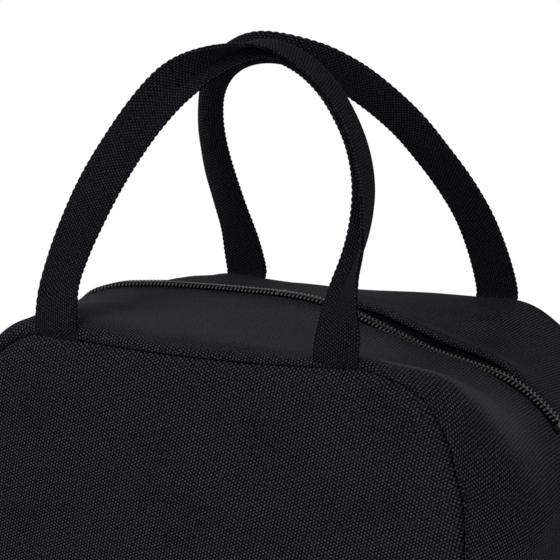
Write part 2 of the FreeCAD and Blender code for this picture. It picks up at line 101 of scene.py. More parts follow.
# The next two set how much the front strips are lightened: partly wear and dust, partly painted light on
# their upward faces and a painted highlight on the slack fold's crease
CREASE_WEAR_AND_HIGHLIGHT = 1.3
TOP_WEAR_AND_LIGHT = 0.4
TINY = 1e-4
FOLD_Y = 5.4
FOLD_ROUND = 1.1
TAPE_HALF = 14.0
UNDER_TAPE = 3.2
TAPE_SEAM = 11.2
TAPE_FLAT = 6.5
STITCH_BACK = 2.2
STITCH = 2.6
STITCH_GAP = 0.9
STITCH_RADIUS = 0.32
WALL = 4.8
BASE_SAG = 0.35
BASE_FILM = 6.6
TOOTH_PITCH = 1.7
TEETH_START = 13.0
TEETH_END = 3.2
STOP_INSET = 2.2
UNSEWN_PLACES = 12
THREAD_GAP = 0.12
THREAD_RADIUS = 0.2
THREAD_HEIGHT = 2.28
THREAD_BACK = 2.0


def smooth(value):
    """0 to 1 with level ends."""
    value = np.clip(value, 0.0, 1.0)
    return value * value * (3.0 - 2.0 * value)


def bell(value, middle, width):
    """A rounded bump of height 1."""
    return np.exp(-(((value - middle) / width) ** 2))


def unit(vectors):
    """Vectors made one long."""
    return vectors / np.linalg.norm(vectors, axis=-1, keepdims=True)


def lengths(points):
    """Length along a chain of points, from its first."""
    steps = np.linalg.norm(np.diff(points, axis=0), axis=1)
    return np.concatenate(([0.0], np.cumsum(steps)))


def pairs(first, second):
    """Two arrays spread to one shape and paired up."""
    return np.stack(np.broadcast_arrays(first, second), -1)


def raised(line, out, y, height):
    """A grid of points over a line of (across, height) places, lifted along its outward directions."""
    x, z = line[:, :1] + out[:, :1] * height, line[:, 1:] + out[:, 1:] * height
    return np.stack(np.broadcast_arrays(x, y, z), -1)


def knots_of(points):
    """Places of points along their own chain, from 0 to 1."""
    along = lengths(np.array(points, float)[:, :2])
    return along / along[-1]


def spline(points, places):
    """A smooth curve through points, read at places from 0 to 1 along its length."""
    knots = knots_of(points)
    points = np.array(points, float)
    tangents = np.gradient(points, knots, axis=0)
    places = np.clip(np.asarray(places, float), 0.0, 1.0)
    index = np.clip(np.searchsorted(knots, places, side="right") - 1, 0, len(knots) - 2)
    width = (knots[index + 1] - knots[index])[:, None]
    t = (places - knots[index])[:, None] / width
    start, end = points[index], points[index + 1]
    out, into = tangents[index] * width, tangents[index + 1] * width
    return (start * (2 * t**3 - 3 * t**2 + 1) + out * (t**3 - 2 * t**2 + t)
            + end * (-2 * t**3 + 3 * t**2) + into * (t**3 - t**2))


def ripple(x, y, z, length):
    """Soft uneven waves between about -1 and 1, the same on every run."""
    total = np.zeros(np.broadcast(x, y, z).shape)
    for turn, stretch in ((0.7, 1.0), (2.1, 1.37), (3.9, 0.81), (5.2, 1.71)):
        across = x * math.cos(turn) + z * math.sin(turn) + 0.6 * y * math.sin(turn * 1.7)
        total = total + np.sin(across * 2 * math.pi * stretch / length + 3.1 * turn)
    return total / 3.0


# Mesh building


def new_object(name, points, faces, uvs=None):
    """A smooth-shaded mesh from points in millimetres; uvs has one pair per point, also in millimetres."""
    mesh = bpy.data.meshes.new(name)
    mesh.from_pydata((np.asarray(points) * MM).tolist(), [], faces)
    if uvs is not None:
        layer = mesh.uv_layers.new(name="UVMap")
        corners = np.zeros(len(mesh.loops), np.int32)
        mesh.loops.foreach_get("vertex_index", corners)
        layer.data.foreach_set("uv", np.asarray(uvs, np.float32)[corners].ravel())
    mesh.polygons.foreach_set("use_smooth", np.ones(len(mesh.polygons), bool))
    mesh.update()
    piece = bpy.data.objects.new(name, mesh)
    bpy.context.scene.collection.objects.link(piece)
    return piece


def grid_faces(rows, columns, ring=False):
    """Quads of a grid whose points run row by row; a ring joins the last column to the first."""
    faces = []
    for row in range(rows - 1):
        for column in range(columns if ring else columns - 1):
            after = (column + 1) % columns
            faces.append((row * columns + column, row * columns + after,
                          (row + 1) * columns + after, (row + 1) * columns + column))
    return faces


def cloth(name, points, uvs, outward, thick, wear_and_light=None):
    """A sheet of cloth from a grid of points, with its outer face on the given side, perhaps with a
    lightening attribute that is partly wear and dust and partly painted light.
    """
    rows, columns = points.shape[:2]
    faces = grid_faces(rows, columns)
    row, column = rows // 2, columns // 2
    corner = points[row, column]
    normal = np.cross(points[row, column + 1] - corner, points[row + 1, column] - corner)
    if np.dot(normal, outward) < 0:
        faces = [face[::-1] for face in faces]
    piece = new_object(name, points.reshape(-1, 3), faces, uvs.reshape(-1, 2))
    layer = piece.modifiers.new("thickness", "SOLIDIFY")
    layer.thickness = thick * MM
    layer.offset = -1.0
    if wear_and_light is not None:
        worn_and_lit = piece.data.attributes.new("wear_and_light", "FLOAT", "POINT")
        worn_and_lit.data.foreach_set("value", np.asarray(wear_and_light, np.float32).ravel())
    return piece


def tube_points(path, radius, sides):
    """Rings of points round a path, with the path's own frame kept from twisting."""
    path = np.asarray(path, float)
    tangent = unit(np.gradient(path, axis=0))
    side = np.cross(tangent[0], (0.0, 0.0, 1.0))
    if np.linalg.norm(side) < 1e-3:
        side = np.cross(tangent[0], (0.0, 1.0, 0.0))
    rings = []
    angles = np.arange(sides) * 2 * math.pi / sides
    radius = np.broadcast_to(radius, (len(path),))
    for place, forward, reach in zip(path, tangent, radius):
        side = unit(side - forward * np.dot(side, forward))
        up = np.cross(forward, side)
        rings.append(place + reach * (np.cos(angles)[:, None] * side + np.sin(angles)[:, None] * up))
    return np.array(rings)


def tube_faces(rings, sides):
    """Faces of a capped tube."""
    last = (rings - 1) * sides
    return grid_faces(rings, sides, True) + [tuple(range(sides))[::-1], tuple(range(last, last + sides))]


def copies(name, template, faces, places, axes):
    """One mesh of many copies of a small shape, each with its own place and three axes."""
    count = len(template)
    points = np.einsum("pk,nkc->npc", template, axes) + places[:, None, :]
    every = [tuple(index + count * copy for index in face) for copy in range(len(places)) for face in faces]
    uvs = np.tile(template[:, :2], (len(places), 1))
    return new_object(name, points.reshape(-1, 3), every, uvs)


def stitches(name, path, outward, stitch, gap, radius):
    """A row of thread stitches along a path, lying on the cloth."""
    path, outward = np.asarray(path, float), np.asarray(outward)
    along = lengths(path)
    count = int(along[-1] // (stitch + gap))
    middles = (np.arange(count) + 0.5) * along[-1] / count

    def read(values, places):
        return np.stack([np.interp(places, along, column) for column in values.T], axis=1)

    places = read(path, middles)
    forward = unit(read(path, middles + 0.5) - read(path, middles - 0.5))
    side = unit(np.cross(read(outward, middles), forward))
    up = np.cross(forward, side)
    reach = stitch / 2
    line = [(-reach, 0, -radius), (-reach * 0.8, 0, 0), (0, 0, radius * 0.4),
            (reach * 0.8, 0, 0), (reach, 0, -radius)]
    template = tube_points(line, np.array([0.5, 0.9, 1.0, 0.9, 0.5]) * radius, 6).reshape(-1, 3)
    return copies(name, template, tube_faces(5, 6), places, np.stack([forward, side, up], axis=1))


# The bag's outline and its gusset


def corner_push(x, z, face):
    """How far the sewn corners stand out of a plain round: fuller or pulled in, by the angle round them."""
    turn = np.degrees(np.arctan2(np.abs(x) - FLAT_TOP, z - CORNER_FOOT))
    full = 1.7 * bell(turn, 34, 11) - 2.1 * bell(turn, 74, 14)
    pulled = -2.8 * bell(turn, 34, 17)
    return np.where((x > 0) & (face < 0), full, pulled)


def seam_line(u, face):
    """A panel's seam over the top, u from -1 at the left foot to 1: place and outward direction."""
    u = np.asarray(u, float)
    reach, side = np.abs(u), np.sign(u)
    share = FLAT_TOP / SEAM_HALF
    turn = np.clip((reach - share) / (1 - share), 0, 1) * math.pi / 2
    x = np.minimum(reach / share, 1.0) * FLAT_TOP + TOP_ROUND * np.sin(turn)
    droop = SEAM_DROOP * np.clip(1 - (x / FLAT_TOP) ** 2, 0, None)
    z = CORNER_FOOT + TOP_ROUND * np.cos(turn) - droop
    places, out = np.stack([side * x, z], -1), np.stack([side * np.sin(turn), np.cos(turn)], -1)
    return places + out * corner_push(places[:, 0], places[:, 1], face)[:, None], out


GUSSET_KNOTS = knots_of(GUSSET_LINE)
ZIP_START = GUSSET_KNOTS[len(SIDE_LINE)]
ZIP_END = GUSSET_KNOTS[len(SIDE_LINE) + len(ZIP_LINE) - 1]
ZIP_LENGTH = float(lengths(spline(ZIP_LINE, np.linspace(0, 1, 801)))[-1])


def gusset_line(places):
    """The gusset's middle line, from the left base over the zip to the right: place and direction out."""
    step = 0.001
    forward = unit(spline(GUSSET_LINE, places + step) - spline(GUSSET_LINE, places - step))
    return spline(GUSSET_LINE, places), np.stack([-forward[:, 1], forward[:, 0]], -1)


def zip_line(u):
    """The zip's part of the gusset's middle line, u from -1 to 1."""
    return gusset_line(ZIP_START + (np.asarray(u, float) + 1) / 2 * (ZIP_END - ZIP_START))


def lip_height(u, x, face):
    """How far the gusset stands up just behind the seam: high in front, low behind and at the sides."""
    if face < 0:
        lip = 3.0 + 2.0 * smooth((-5 - x) / 50) + 2.6 * smooth((x - 30) / 55) + 1.2 * bell(u, -0.58, 0.1)
    else:
        lip = 1.2 + 1.6 * bell(x, 30, 30)
    return lip + (SIDE_LIP - lip) * smooth((np.abs(u) - np.where(x < 0, 0.6, 0.66)) / 0.32)


def crown_power(u, face):
    """How round the gusset is between seam and zip: flatter along the rear."""
    flat = 0.0 if face < 0 else 0.55
    return SIDE_POWER - flat * (1 - smooth((np.abs(u) - 0.55) / 0.4))


def seam_rows(count):
    """Rows of the roll next to the seam, which starts tucked in: distance from the middle and rise."""
    turn = np.linspace(SEAM_TUCK, math.pi / 2, count)
    low = math.sin(SEAM_TUCK)
    return SEAM_Y - SEAM_ROLL * (1 - np.cos(turn)), (np.sin(turn) - low) / (1 - low)


def gusset_shape(seam, middle, lip, power, y, rise):
    """Points between a seam and the gusset's middle line, at distances y from the middle plane."""
    (seam, seam_out), (middle, middle_out) = seam, middle
    share = 1 - (np.abs(y) / SEAM_Y)[None, :] ** np.broadcast_to(power, (len(lip),))[:, None]
    flat = seam[:, None, :] + (middle - seam)[:, None, :] * share[:, :, None]
    standing = lip[:, None] * rise * (1 - smooth(share))
    flat = flat + seam_out[:, None, :] * standing[:, :, None]
    points = np.stack([flat[:, :, 0], np.broadcast_to(y, share.shape), flat[:, :, 1]], -1)
    fade = smooth((SEAM_Y - np.abs(y)) / 12.0) * smooth((np.abs(y) - 4.0) / 14.0)
    waves = ripple(points[:, :, 0], points[:, :, 1], points[:, :, 2], 52.0) * 0.7
    waves = waves + ripple(points[:, :, 2], points[:, :, 0], points[:, :, 1], 23.0) * 0.22
    out = seam_out[:, None, :] * (1 - share)[:, :, None] + middle_out[:, None, :] * share[:, :, None]
    return shifted(points, out, waves * fade), out


def shifted(points, out, amount):
    """Points moved along outward directions that have no part along the depth of the bag."""
    points = points.copy()
    points[:, :, 0] += out[:, :, 0] * amount
    points[:, :, 2] += out[:, :, 1] * amount
    return points


def run_across(points):
    """Length across each row of points, from its first."""
    steps = np.linalg.norm(np.diff(points, axis=1), axis=2)
    return np.concatenate([np.zeros((len(points), 1)), np.cumsum(steps, axis=1)], axis=1)


def strip_rows():
    """Rows of a zip strip from the seam to its folded edge: distance from the middle plane and rise."""
    near, rise = seam_rows(ROLL_ROWS)
    rest = np.linspace(near[-1], FOLD_Y, 34)[1:]
    return np.concatenate([near, rest]), np.concatenate([rise, np.ones(len(rest))])


# How the strips' folded edges stand beside the zip: everywhere, more in front, more and back behind
EDGE_LIFT = 0.9
FRONT_LIFT = 1.9
REAR_LIFT = 3.8
REAR_GAP = 3.6


def edge_lift(x, face):
    """How far a strip's folded edge stands up beside the zip, and how far it stands back from it."""
    if face < 0:
        return EDGE_LIFT + FRONT_LIFT * smooth((x - 35) / 18) * smooth((96 - x) / 16), 0.0 * x
    sunk = smooth((x - 8) / 30) * smooth((108 - x) / 30)
    return EDGE_LIFT + REAR_LIFT * sunk, REAR_GAP * sunk


def slack_rise(u, x, face, rows, rise):
    """The rise of each row, where the front strip turns over in a wide roll round the right corner."""
    slack = 0.65 * smooth((x - 58) / 34) * smooth((1 - np.abs(u)) / 0.25) * (face < 0)
    return rise + (smooth((SEAM_Y - rows) / SLACK_ROLL) - rise) * slack[:, None]


def fold_ridge(run):
    """How far in from the seam the slack fold's ridge lies; run is the way past the corner's foot."""
    return 9 + 19 * smooth((run + 75) / 75)


def corner_fold(run, distance):
    """Height of the slack fold from beside the front handle's right foot, dying out down the side."""
    ridge = fold_ridge(run)
    height = FOLD_HEIGHT * smooth((run + 78) / 62) * smooth((60 - run) / 70)
    rising = 1 - (1 - np.clip(distance / ridge, 0, 1)) ** 2
    falling = 1 - smooth((distance - ridge) / (64 - ridge))
    return height * np.where(distance < ridge, rising, falling)


def fold_wear_and_highlight(run, distance):
    """How much the slack fold is lightened, partly as wear and partly as painted light: most on its crease,
    where it is a painted highlight, then on its upper band towards the zip, less down the side.
    """
    past = distance - fold_ridge(run)
    share = smooth((run + 78) / 62) * smooth((18 - run) / 45)
    crease = bell(past, -1, 1.4) * smooth((run + 80) / 8) * smooth((-22 - run) / 30)
    broad = smooth((past + 6) / 12) * (1 - 0.6 * smooth((past - 8) / 28)) * smooth((70 - distance) / 8)
    return share * broad + CREASE_WEAR_AND_HIGHLIGHT * crease


def strip_wear_and_light(run, rows, side, face):
    """How much a strip's cloth is lightened, partly as wear and dust and partly as painted light on its
    upward faces: most on the slack fold, some along the front.
    """
    if face > 0:
        return np.zeros((len(run), len(rows)))
    distance = SEAM_Y - rows[None, :]
    top = TOP_WEAR_AND_LIGHT * smooth((distance - 6) / 10) * smooth((rows[None, :] - 8) / 10)
    fading = smooth((-40 - run) / 40) * smooth((run + 2 * SEAM_HALF - 10) / 45)
    worn_and_lit = top * fading[:, None]
    return worn_and_lit if side < 0 else np.maximum(worn_and_lit, fold_wear_and_highlight(run[:, None], distance))


def strip_surface(u, face):
    """Outer face of a zip strip with its folded edge: points, cloth coordinates, outward directions."""
    seam, middle = seam_line(u, face), zip_line(u)
    rows, rise = strip_rows()
    lip = lip_height(u, seam[0][:, 0], face)
    rise = slack_rise(u, seam[0][:, 0], face, rows, rise)
    points, out = gusset_shape(seam, middle, lip, crown_power(u, face), face * rows, rise)
    if face < 0:
        run = (u - 1) * SEAM_HALF
        points = shifted(points, out, corner_fold(run[:, None], SEAM_Y - rows[None, :]))
    lift, gap = edge_lift(middle[0][:, 0], face)
    near_zip = smooth((26 - rows) / 20)[None, :] * smooth((1 - np.abs(u)) / 0.08)[:, None]
    points = shifted(points, out, lift[:, None] * near_zip)
    points[:, :, 1] += face * gap[:, None] * near_zip
    down = middle[1]
    rolled = []
    for turn in np.linspace(0, math.pi, 8)[1:]:
        ring = points[:, -1, :].copy()
        ring[:, 1] -= face * FOLD_ROUND * math.sin(turn)
        ring[:, ::2] -= down * FOLD_ROUND * (1 - math.cos(turn))
        rolled.append(ring)
    for back in (3.0, 6.0):
        ring = rolled[6].copy()
        ring[:, 1] += face * back
        rolled.append(ring)
    sewn = rolled[-1].copy()
    sewn[:, 1] += face * 1.5
    sewn[:, ::2] = middle[0] - down * 1.2
    rolled.append(sewn)
    points = np.concatenate([points, np.stack(rolled, 1)], 1)
    return points, pairs((u * ZIP_LENGTH / 2)[:, None], run_across(points)), out


def swing(piece):
    """Cloth over one half of the mouth, with its transform baked into its points."""
    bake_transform(piece)


def finish_piece(piece, material, nodes=()):
    """A piece with its material and slot, in place of CAD nodes if any are named."""
    piece.data.materials.append(material)
    if nodes:
        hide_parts(*nodes)
    return piece


# Materials


def add(tree, kind, operation=None, **inputs):
    """A shader node; each input, by name or as i and its number, is a value or another node's socket."""
    node = tree.nodes.new("ShaderNode" + kind)
    if operation:
        node.operation = operation
    for name, value in inputs.items():
        numbered = name[0] == "i" and name[1:].isdigit()
        socket = node.inputs[int(name[1:]) if numbered else name.replace("_", " ")]
        if isinstance(value, bpy.types.NodeSocket):
            tree.links.new(value, socket)
        else:
            socket.default_value = value
    return node


def calc(tree, operation, first, second=0.0, third=0.0):
    return add(tree, "Math", operation, i0=first, i1=second, i2=third).outputs[0]


def ramp(tree, factor, *stops):
    """A colour ramp between (place, colour) stops."""
    node = add(tree, "ValToRGB", Fac=factor)
    band = node.color_ramp
    while len(band.elements) < len(stops):
        band.elements.new(0.5)
    for element, (place, colour) in zip(band.elements, stops):
        element.position = place
        element.color = (*colour, 1.0)
    return node.outputs[0]


def start_material(name, roughness, **fixed):
    """A material with its shader, whose constant values are set on the shader itself."""
    material = bpy.data.materials.new(name)
    material.use_nodes = True
    tree = material.node_tree
    shader = tree.nodes["Principled BSDF"]
    shader.inputs["Roughness"].default_value = roughness
    for key, value in fixed.items():
        shader.inputs[key.replace("_", " ")].default_value = value
    return material, tree, shader


def add_bump(tree, shader, height, depth):
    bump = add(tree, "Bump", Height=height, Distance=depth * MM)
    tree.links.new(bump.outputs[0], shader.inputs["Normal"])


def cloth_coordinates(tree, jitter, scale):
    """Across and along in millimetres, with the yarns a little uneven."""
    place = add(tree, "UVMap").outputs[0]
    noise = add(tree, "TexNoise", Vector=place, Scale=scale, Detail=2.0)
    wander = add(tree, "VectorMath", "SUBTRACT", i0=noise.outputs["Color"], i1=(0.5, 0.5, 0.5))
    scaled = add(tree, "VectorMath", "SCALE", i0=wander.outputs[0], i3=jitter)
    total = add(tree, "VectorMath", "ADD", i0=place, i1=scaled.outputs[0])
    split = add(tree, "SeparateXYZ", Vector=total.outputs[0])
    return place, split.outputs[0], split.outputs[1]


def woven(name, pitches, colours, depth, gloss):
    """Woven cloth: yarns that pass over and under each other, each crossing with its own brightness."""
    sheen, specular = gloss
    material, tree, shader = start_material(name, 0.9, Sheen_Weight=sheen, Sheen_Roughness=0.4)
    shader.inputs["Specular IOR Level"].default_value = specular
    place, across, along = cloth_coordinates(tree, 0.55, 0.3)
    warp = calc(tree, "SINE", calc(tree, "MULTIPLY", across, math.pi / pitches[0]))
    weft = calc(tree, "SINE", calc(tree, "MULTIPLY", along, math.pi / pitches[1]))
    yarn = calc(tree, "ABSOLUTE", warp)
    over = calc(tree, "MULTIPLY", warp, weft)
    crossing = calc(tree, "MULTIPLY_ADD", over, 0.5, calc(tree, "MULTIPLY", yarn, 0.5))
    height = calc(tree, "MULTIPLY", crossing, yarn)
    yarns = add(tree, "TexNoise", Vector=place, Scale=0.9, Detail=3.0)
    patches = add(tree, "TexNoise", Vector=place, Scale=0.035, Detail=4.0)
    tone = calc(tree, "MULTIPLY", height, calc(tree, "MULTIPLY_ADD", yarns.outputs["Fac"], 2.6, -0.55))
    tone = calc(tree, "MULTIPLY", tone, calc(tree, "MULTIPLY_ADD", patches.outputs["Fac"], 0.9, 0.55))
    lint = add(tree, "TexNoise", Vector=place, Scale=1.7, Detail=1.0)
    specks = calc(tree, "MAXIMUM", calc(tree, "MULTIPLY_ADD", lint.outputs["Fac"], 4.0, -2.5), 0.0)
    tone = calc(tree, "ADD", tone, specks)
    # Lighter cloth where the mesh's lightening attribute says: partly wear and dust, partly painted light on
    # upward faces and a painted highlight on a fold's crease
    wear_and_light = add(tree, "Attribute")
    wear_and_light.attribute_name = "wear_and_light"
    dust_and_light = calc(tree, "MULTIPLY_ADD", lint.outputs["Fac"], 2.4, -0.7)
    faded_and_lit = calc(tree, "SUBTRACT", dust_and_light, calc(tree, "MULTIPLY", tone, 0.5))
    worn_and_lit = calc(tree, "MULTIPLY", wear_and_light.outputs["Fac"], faded_and_lit)
    tone = calc(tree, "ADD", tone, worn_and_lit)
    tree.links.new(ramp(tree, tone, (0.02, colours[0]), (0.9, colours[1])), shader.inputs["Base Color"])
    rough = calc(tree, "MULTIPLY_ADD", yarns.outputs["Fac"], 0.25, 0.72)
    tree.links.new(rough, shader.inputs["Roughness"])
    add_bump(tree, shader, height, depth)
    return material


def foil(name):
    """Silver film, creased by use."""
    material, tree, shader = start_material(name, 0.34, Metallic=0.85)
    place = add(tree, "UVMap").outputs[0]
    folds = add(tree, "TexVoronoi", Vector=place, Scale=0.07)
    folds.feature = "DISTANCE_TO_EDGE"
    cloudy = add(tree, "TexNoise", Vector=place, Scale=0.12, Detail=4.0)
    crease = calc(tree, "MINIMUM", calc(tree, "MULTIPLY", folds.outputs[0], 4.0), 1.0)
    height = calc(tree, "ADD", calc(tree, "MULTIPLY", crease, 0.4), cloudy.outputs["Fac"])
    colour = ramp(tree, cloudy.outputs["Fac"], (0.3, (0.42, 0.43, 0.45)), (0.7, (0.62, 0.63, 0.65)))
    tree.links.new(colour, shader.inputs["Base Color"])
    rough = calc(tree, "MULTIPLY_ADD", cloudy.outputs["Fac"], 0.3, 0.2)
    tree.links.new(rough, shader.inputs["Roughness"])
    add_bump(tree, shader, height, 0.9)
    return material


def moulded(name, low, high, roughness, grain, **fixed):
    """Hard black material with a faint mottle and a little uneven gloss."""
    material, tree, shader = start_material(name, roughness, **fixed)
    place = add(tree, "TexCoord").outputs["Object"]
    mottle = add(tree, "TexNoise", Vector=place, Scale=grain, Detail=4.0)
    tree.links.new(ramp(tree, mottle.outputs["Fac"], (0.3, low), (0.7, high)), shader.inputs["Base Color"])
    rough = calc(tree, "MULTIPLY_ADD", mottle.outputs["Fac"], 0.25, roughness - 0.12)
    tree.links.new(rough, shader.inputs["Roughness"])
    add_bump(tree, shader, mottle.outputs["Fac"], 0.02)
    return material


# Tint of the black cloth; each colour below is a share of it
BLACK = np.array((1.0, 0.955, 1.3))
CANVAS = woven("canvas", (1.22, 0.63), (0.0015 * BLACK, 0.06 * BLACK), 0.3, (0.006, 0.02))
FINE_TAPE = woven("zip_tape", (0.5, 0.3), (0.001 * BLACK, 0.009 * BLACK), 0.08, (0.003, 0.012))
BINDING = woven("binding", (0.7, 0.4), (0.002 * BLACK, 0.03 * BLACK), 0.12, (0.01, 0.03))
WEBBING = woven("webbing", (0.95, 0.66), (0.0015 * BLACK, 0.033 * BLACK), 0.4, (0.008, 0.02))
THREAD = moulded("thread", (0.002, 0.002, 0.0025), (0.009, 0.009, 0.01), 0.7, 3000.0,
                 Specular_IOR_Level=0.06)
COIL = moulded("zip_coil", (0.002, 0.002, 0.0022), (0.008, 0.008, 0.009), 0.22, 900.0,
               Specular_IOR_Level=0.38)
ENAMEL = moulded("zip_metal", (0.008, 0.008, 0.009), (0.02, 0.02, 0.021), 0.36, 400.0, Metallic=0.3)
FOIL = foil("lining")


# Front and rear walls


def panel_grid(face):
    """Rows of a rounded panel from base to top: (across, height) and the distance to its edge."""
    base = BASE_ROUND * (1 - np.cos(np.linspace(0, math.pi / 2, 11)))
    body = np.linspace(BASE_ROUND, CORNER_FOOT, 46)[1:-1]
    crown = CORNER_FOOT + TOP_ROUND * np.sin(np.linspace(0, math.pi / 2, 26))
    heights = np.concatenate([base, body, crown])
    low = np.clip(1 - heights / BASE_ROUND, 0, 1)
    high = np.clip((heights - CORNER_FOOT) / TOP_ROUND, 0, 1)
    half = HALF_WIDTH - BASE_ROUND * (1 - np.sqrt(1 - low**2)) - TOP_ROUND * (1 - np.sqrt(1 - high**2))
    share = np.sin(np.linspace(-1, 1, 91) * math.pi / 2 * 0.96) / math.sin(math.pi / 2 * 0.96)
    x = half[:, None] * share[None, :]
    droop = SEAM_DROOP * np.clip(1 - (x / FLAT_TOP) ** 2, 0, None) * smooth((heights - 90) / 100)[:, None]
    z = heights[:, None] - droop
    corner_x = np.clip(np.abs(x) - FLAT_TOP, 0, None)
    above_foot = heights[:, None] - CORNER_FOOT
    corner_z = np.clip(above_foot, 0, None)
    at_top = np.where(above_foot > 0, TOP_ROUND - np.hypot(corner_x, corner_z), HALF_WIDTH - np.abs(x))
    at_base = np.minimum(z, HALF_WIDTH - np.abs(x))
    beside = np.clip(np.abs(x) - HALF_WIDTH + BASE_ROUND, 0, None)
    near_base = np.hypot(beside, np.clip(BASE_ROUND - z, 0, None))
    at_base = np.where(z < BASE_ROUND, np.minimum(at_base, BASE_ROUND - near_base), HALF_WIDTH)
    reach = np.minimum(np.hypot(corner_x, z - CORNER_FOOT) / TOP_ROUND, 1.0)
    turn = np.arctan2(corner_x, z - CORNER_FOOT)
    push = corner_push(x, z, face) * reach**2 * (corner_x > 0)
    edge = np.clip(np.minimum(at_top, at_base), 0, None)
    return x + np.sign(x) * np.sin(turn) * push, z + np.cos(turn) * push, edge


WEAVE_SLANT = 0.23


def side_dip(x):
    """How much deeper a wall dips along its upright seams than along the top."""
    return SIDE_DIP * smooth((np.abs(x) - 72) / 33)


def wall_cloth(wall, face):
    """A canvas wall that swells between its seams and dips where it is sewn."""
    x, z, edge = panel_grid(face)
    dip = SEAM_DIP + side_dip(x)
    swell = PADDING - dip * np.exp(-edge / DIP_WIDTH) + BULGE * smooth(edge / 80)
    waves = ripple(x, 20.0 * face, z, 85.0) * 0.9 * smooth(edge / 40)
    y = face * (SEAM_Y + swell + waves)
    points = np.stack([x, y, z], -1)
    uvs = np.stack([x - WEAVE_SLANT * z, z], -1)
    piece = cloth(wall + "_panel_cloth", points, uvs, (0, face, 0), CANVAS_THICK)
    nodes = [wall + "_panel", wall + "_foam", wall + "_handle_ends"]
    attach(finish_piece(piece, CANVAS, nodes), "bag")


def turned_edge(wall, face):
    """The wall's own edge, turned in under the strip: it closes the seam when a flap is lifted."""
    u = np.linspace(-1, 1, 181)
    seam, middle = seam_line(u, face), zip_line(u)
    rows = SEAM_Y - np.array([1.7, 2.6, 3.4, 5.0, 7.5, 10.5])
    lip = lip_height(u, seam[0][:, 0], face)
    rise = slack_rise(u, seam[0][:, 0], face, rows, np.ones(len(rows)))
    points, out = gusset_shape(seam, middle, lip, crown_power(u, face), face * rows, rise)
    points = shifted(points, out, np.full((len(u), len(rows)), -1.5))
    points[:, 0, ::2] = seam[0] - seam[1] * 0.4
    points[:, 0, 1] -= face * side_dip(seam[0][:, 0])
    uvs = pairs(u[:, None] * ZIP_LENGTH / 2, rows[None, :])
    piece = cloth(wall + "_turned_edge", points, uvs, (0, 0, 1), CANVAS_THICK)
    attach(finish_piece(piece, CANVAS), "bag")


def wall_lining(wall, face):
    x, z, edge = panel_grid(face)
    shrink = 1 - WALL / HALF_WIDTH
    slack = 1.6 * (1 - np.exp(-edge / 9)) + ripple(x, 7.0 * face, z, 37.0) * 1.0 * smooth(edge / 16)
    y = face * (SEAM_Y - WALL - 0.5 - slack)
    middle = TOP / 2
    points = np.stack([x * shrink, y, middle + (z - middle) * shrink], -1)
    piece = cloth(wall + "_wall_lining", points, np.stack([x, z], -1), (0, -face, 0), FILM_THICK)
    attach(finish_piece(piece, FOIL, [wall + "_lining"]), "bag")


# Zip strips, tapes and coils, in left and right halves


def half_places(side, count):
    """u from the middle of the zip to one end; tiny end steps make neighbouring pieces shade alike."""
    even = np.linspace(0.0, 1.0, count)
    return side * np.concatenate([[0.0, TINY], even[1:-1], [1 - TINY, 1.0]])


def zip_strip(wall, face, hand, side):
    u = half_places(side, 131)
    points, uvs, out = strip_surface(u, face)
    # Lightening of the front strips' cloth: partly wear and dust, partly painted light on their upward faces
    # and a painted highlight on the slack fold's crease
    wear_and_light = np.zeros(points.shape[:2])
    rows = strip_rows()[0]
    wear_and_light[:, :len(rows)] = strip_wear_and_light((u - 1) * SEAM_HALF, rows, side, face)
    piece = cloth(f"{wall}_{hand}_zip_strip", points, uvs, (0.0, 0.0, 1.0), CANVAS_THICK, wear_and_light)
    nodes = [f"{wall}_{hand}_corner_strip", f"{wall}_{hand}_corner_foam"]
    nodes += [f"{wall}_flap_strip"] if side < 0 else [f"{wall}_flap_foam"]
    finish_piece(piece, CANVAS, nodes)
    swing(piece)
    row = int(np.argmin(np.abs(rows - FOLD_Y - STITCH_BACK)))
    up = np.stack([out[:, row, 0], 0 * out[:, row, 0], out[:, row, 1]], -1)
    ends = slice(0, -UNSEWN_PLACES)
    seam = stitches(f"{wall}_{hand}_zip_stitching", points[ends, row], up[ends],
                    STITCH, STITCH_GAP, STITCH_RADIUS)
    finish_piece(seam, THREAD)
    swing(seam)


def strip_edge(wall, face, hand, side):
    """The strip's own sewn edge, hanging inside the wall: it covers the seam when the flap is lifted."""
    u = half_places(side, 91)
    places, out = seam_line(u, face)
    inward = np.array([1.5, 2.4, 2.2, 1.1, 0.5]) + side_dip(places[:, :1])
    rise = np.array([0.2, -0.4, -1.4, -2.9, -4.6])
    points = raised(places, out, face * (SEAM_Y - inward), rise)
    uvs = pairs((u * ZIP_LENGTH / 2)[:, None], rise[None, :])
    piece = cloth(f"{wall}_{hand}_strip_edge", points, uvs, (0, face, 0), CANVAS_THICK)
    swing(finish_piece(piece, CANVAS))


def strip_lining(wall, face, hand, side):
    """Film under a zip strip, from the seam to the zip tape."""
    u = half_places(side, 101)
    seam, middle = seam_line(u, face), zip_line(u)
    rows = np.linspace(SEAM_Y - WALL, FOLD_Y + 2.4, 26)
    lip = 0.5 * lip_height(u, seam[0][:, 0], face)
    points, out = gusset_shape(seam, middle, lip, crown_power(u, face), face * rows, np.ones(len(rows)))
    depth = UNDER_TAPE + (WALL - UNDER_TAPE) * smooth((rows - FOLD_Y - 3) / 9)
    slack = ripple(points[:, :, 0], points[:, :, 1], points[:, :, 2], 31.0)
    points = shifted(points, out, -depth[None, :] - 0.7 * slack * smooth((rows - 14) / 10)[None, :])
    uvs = pairs((u * ZIP_LENGTH / 2)[:, None], rows[None, :])
    piece = cloth(f"{wall}_{hand}_strip_lining", points, uvs, (0.0, 0.0, -1.0), FILM_THICK)
    nodes = [f"{wall}_{hand}_corner_lining"] + ([f"{wall}_flap_lining"] if side < 0 else [])
    swing(finish_piece(piece, FOIL, nodes))


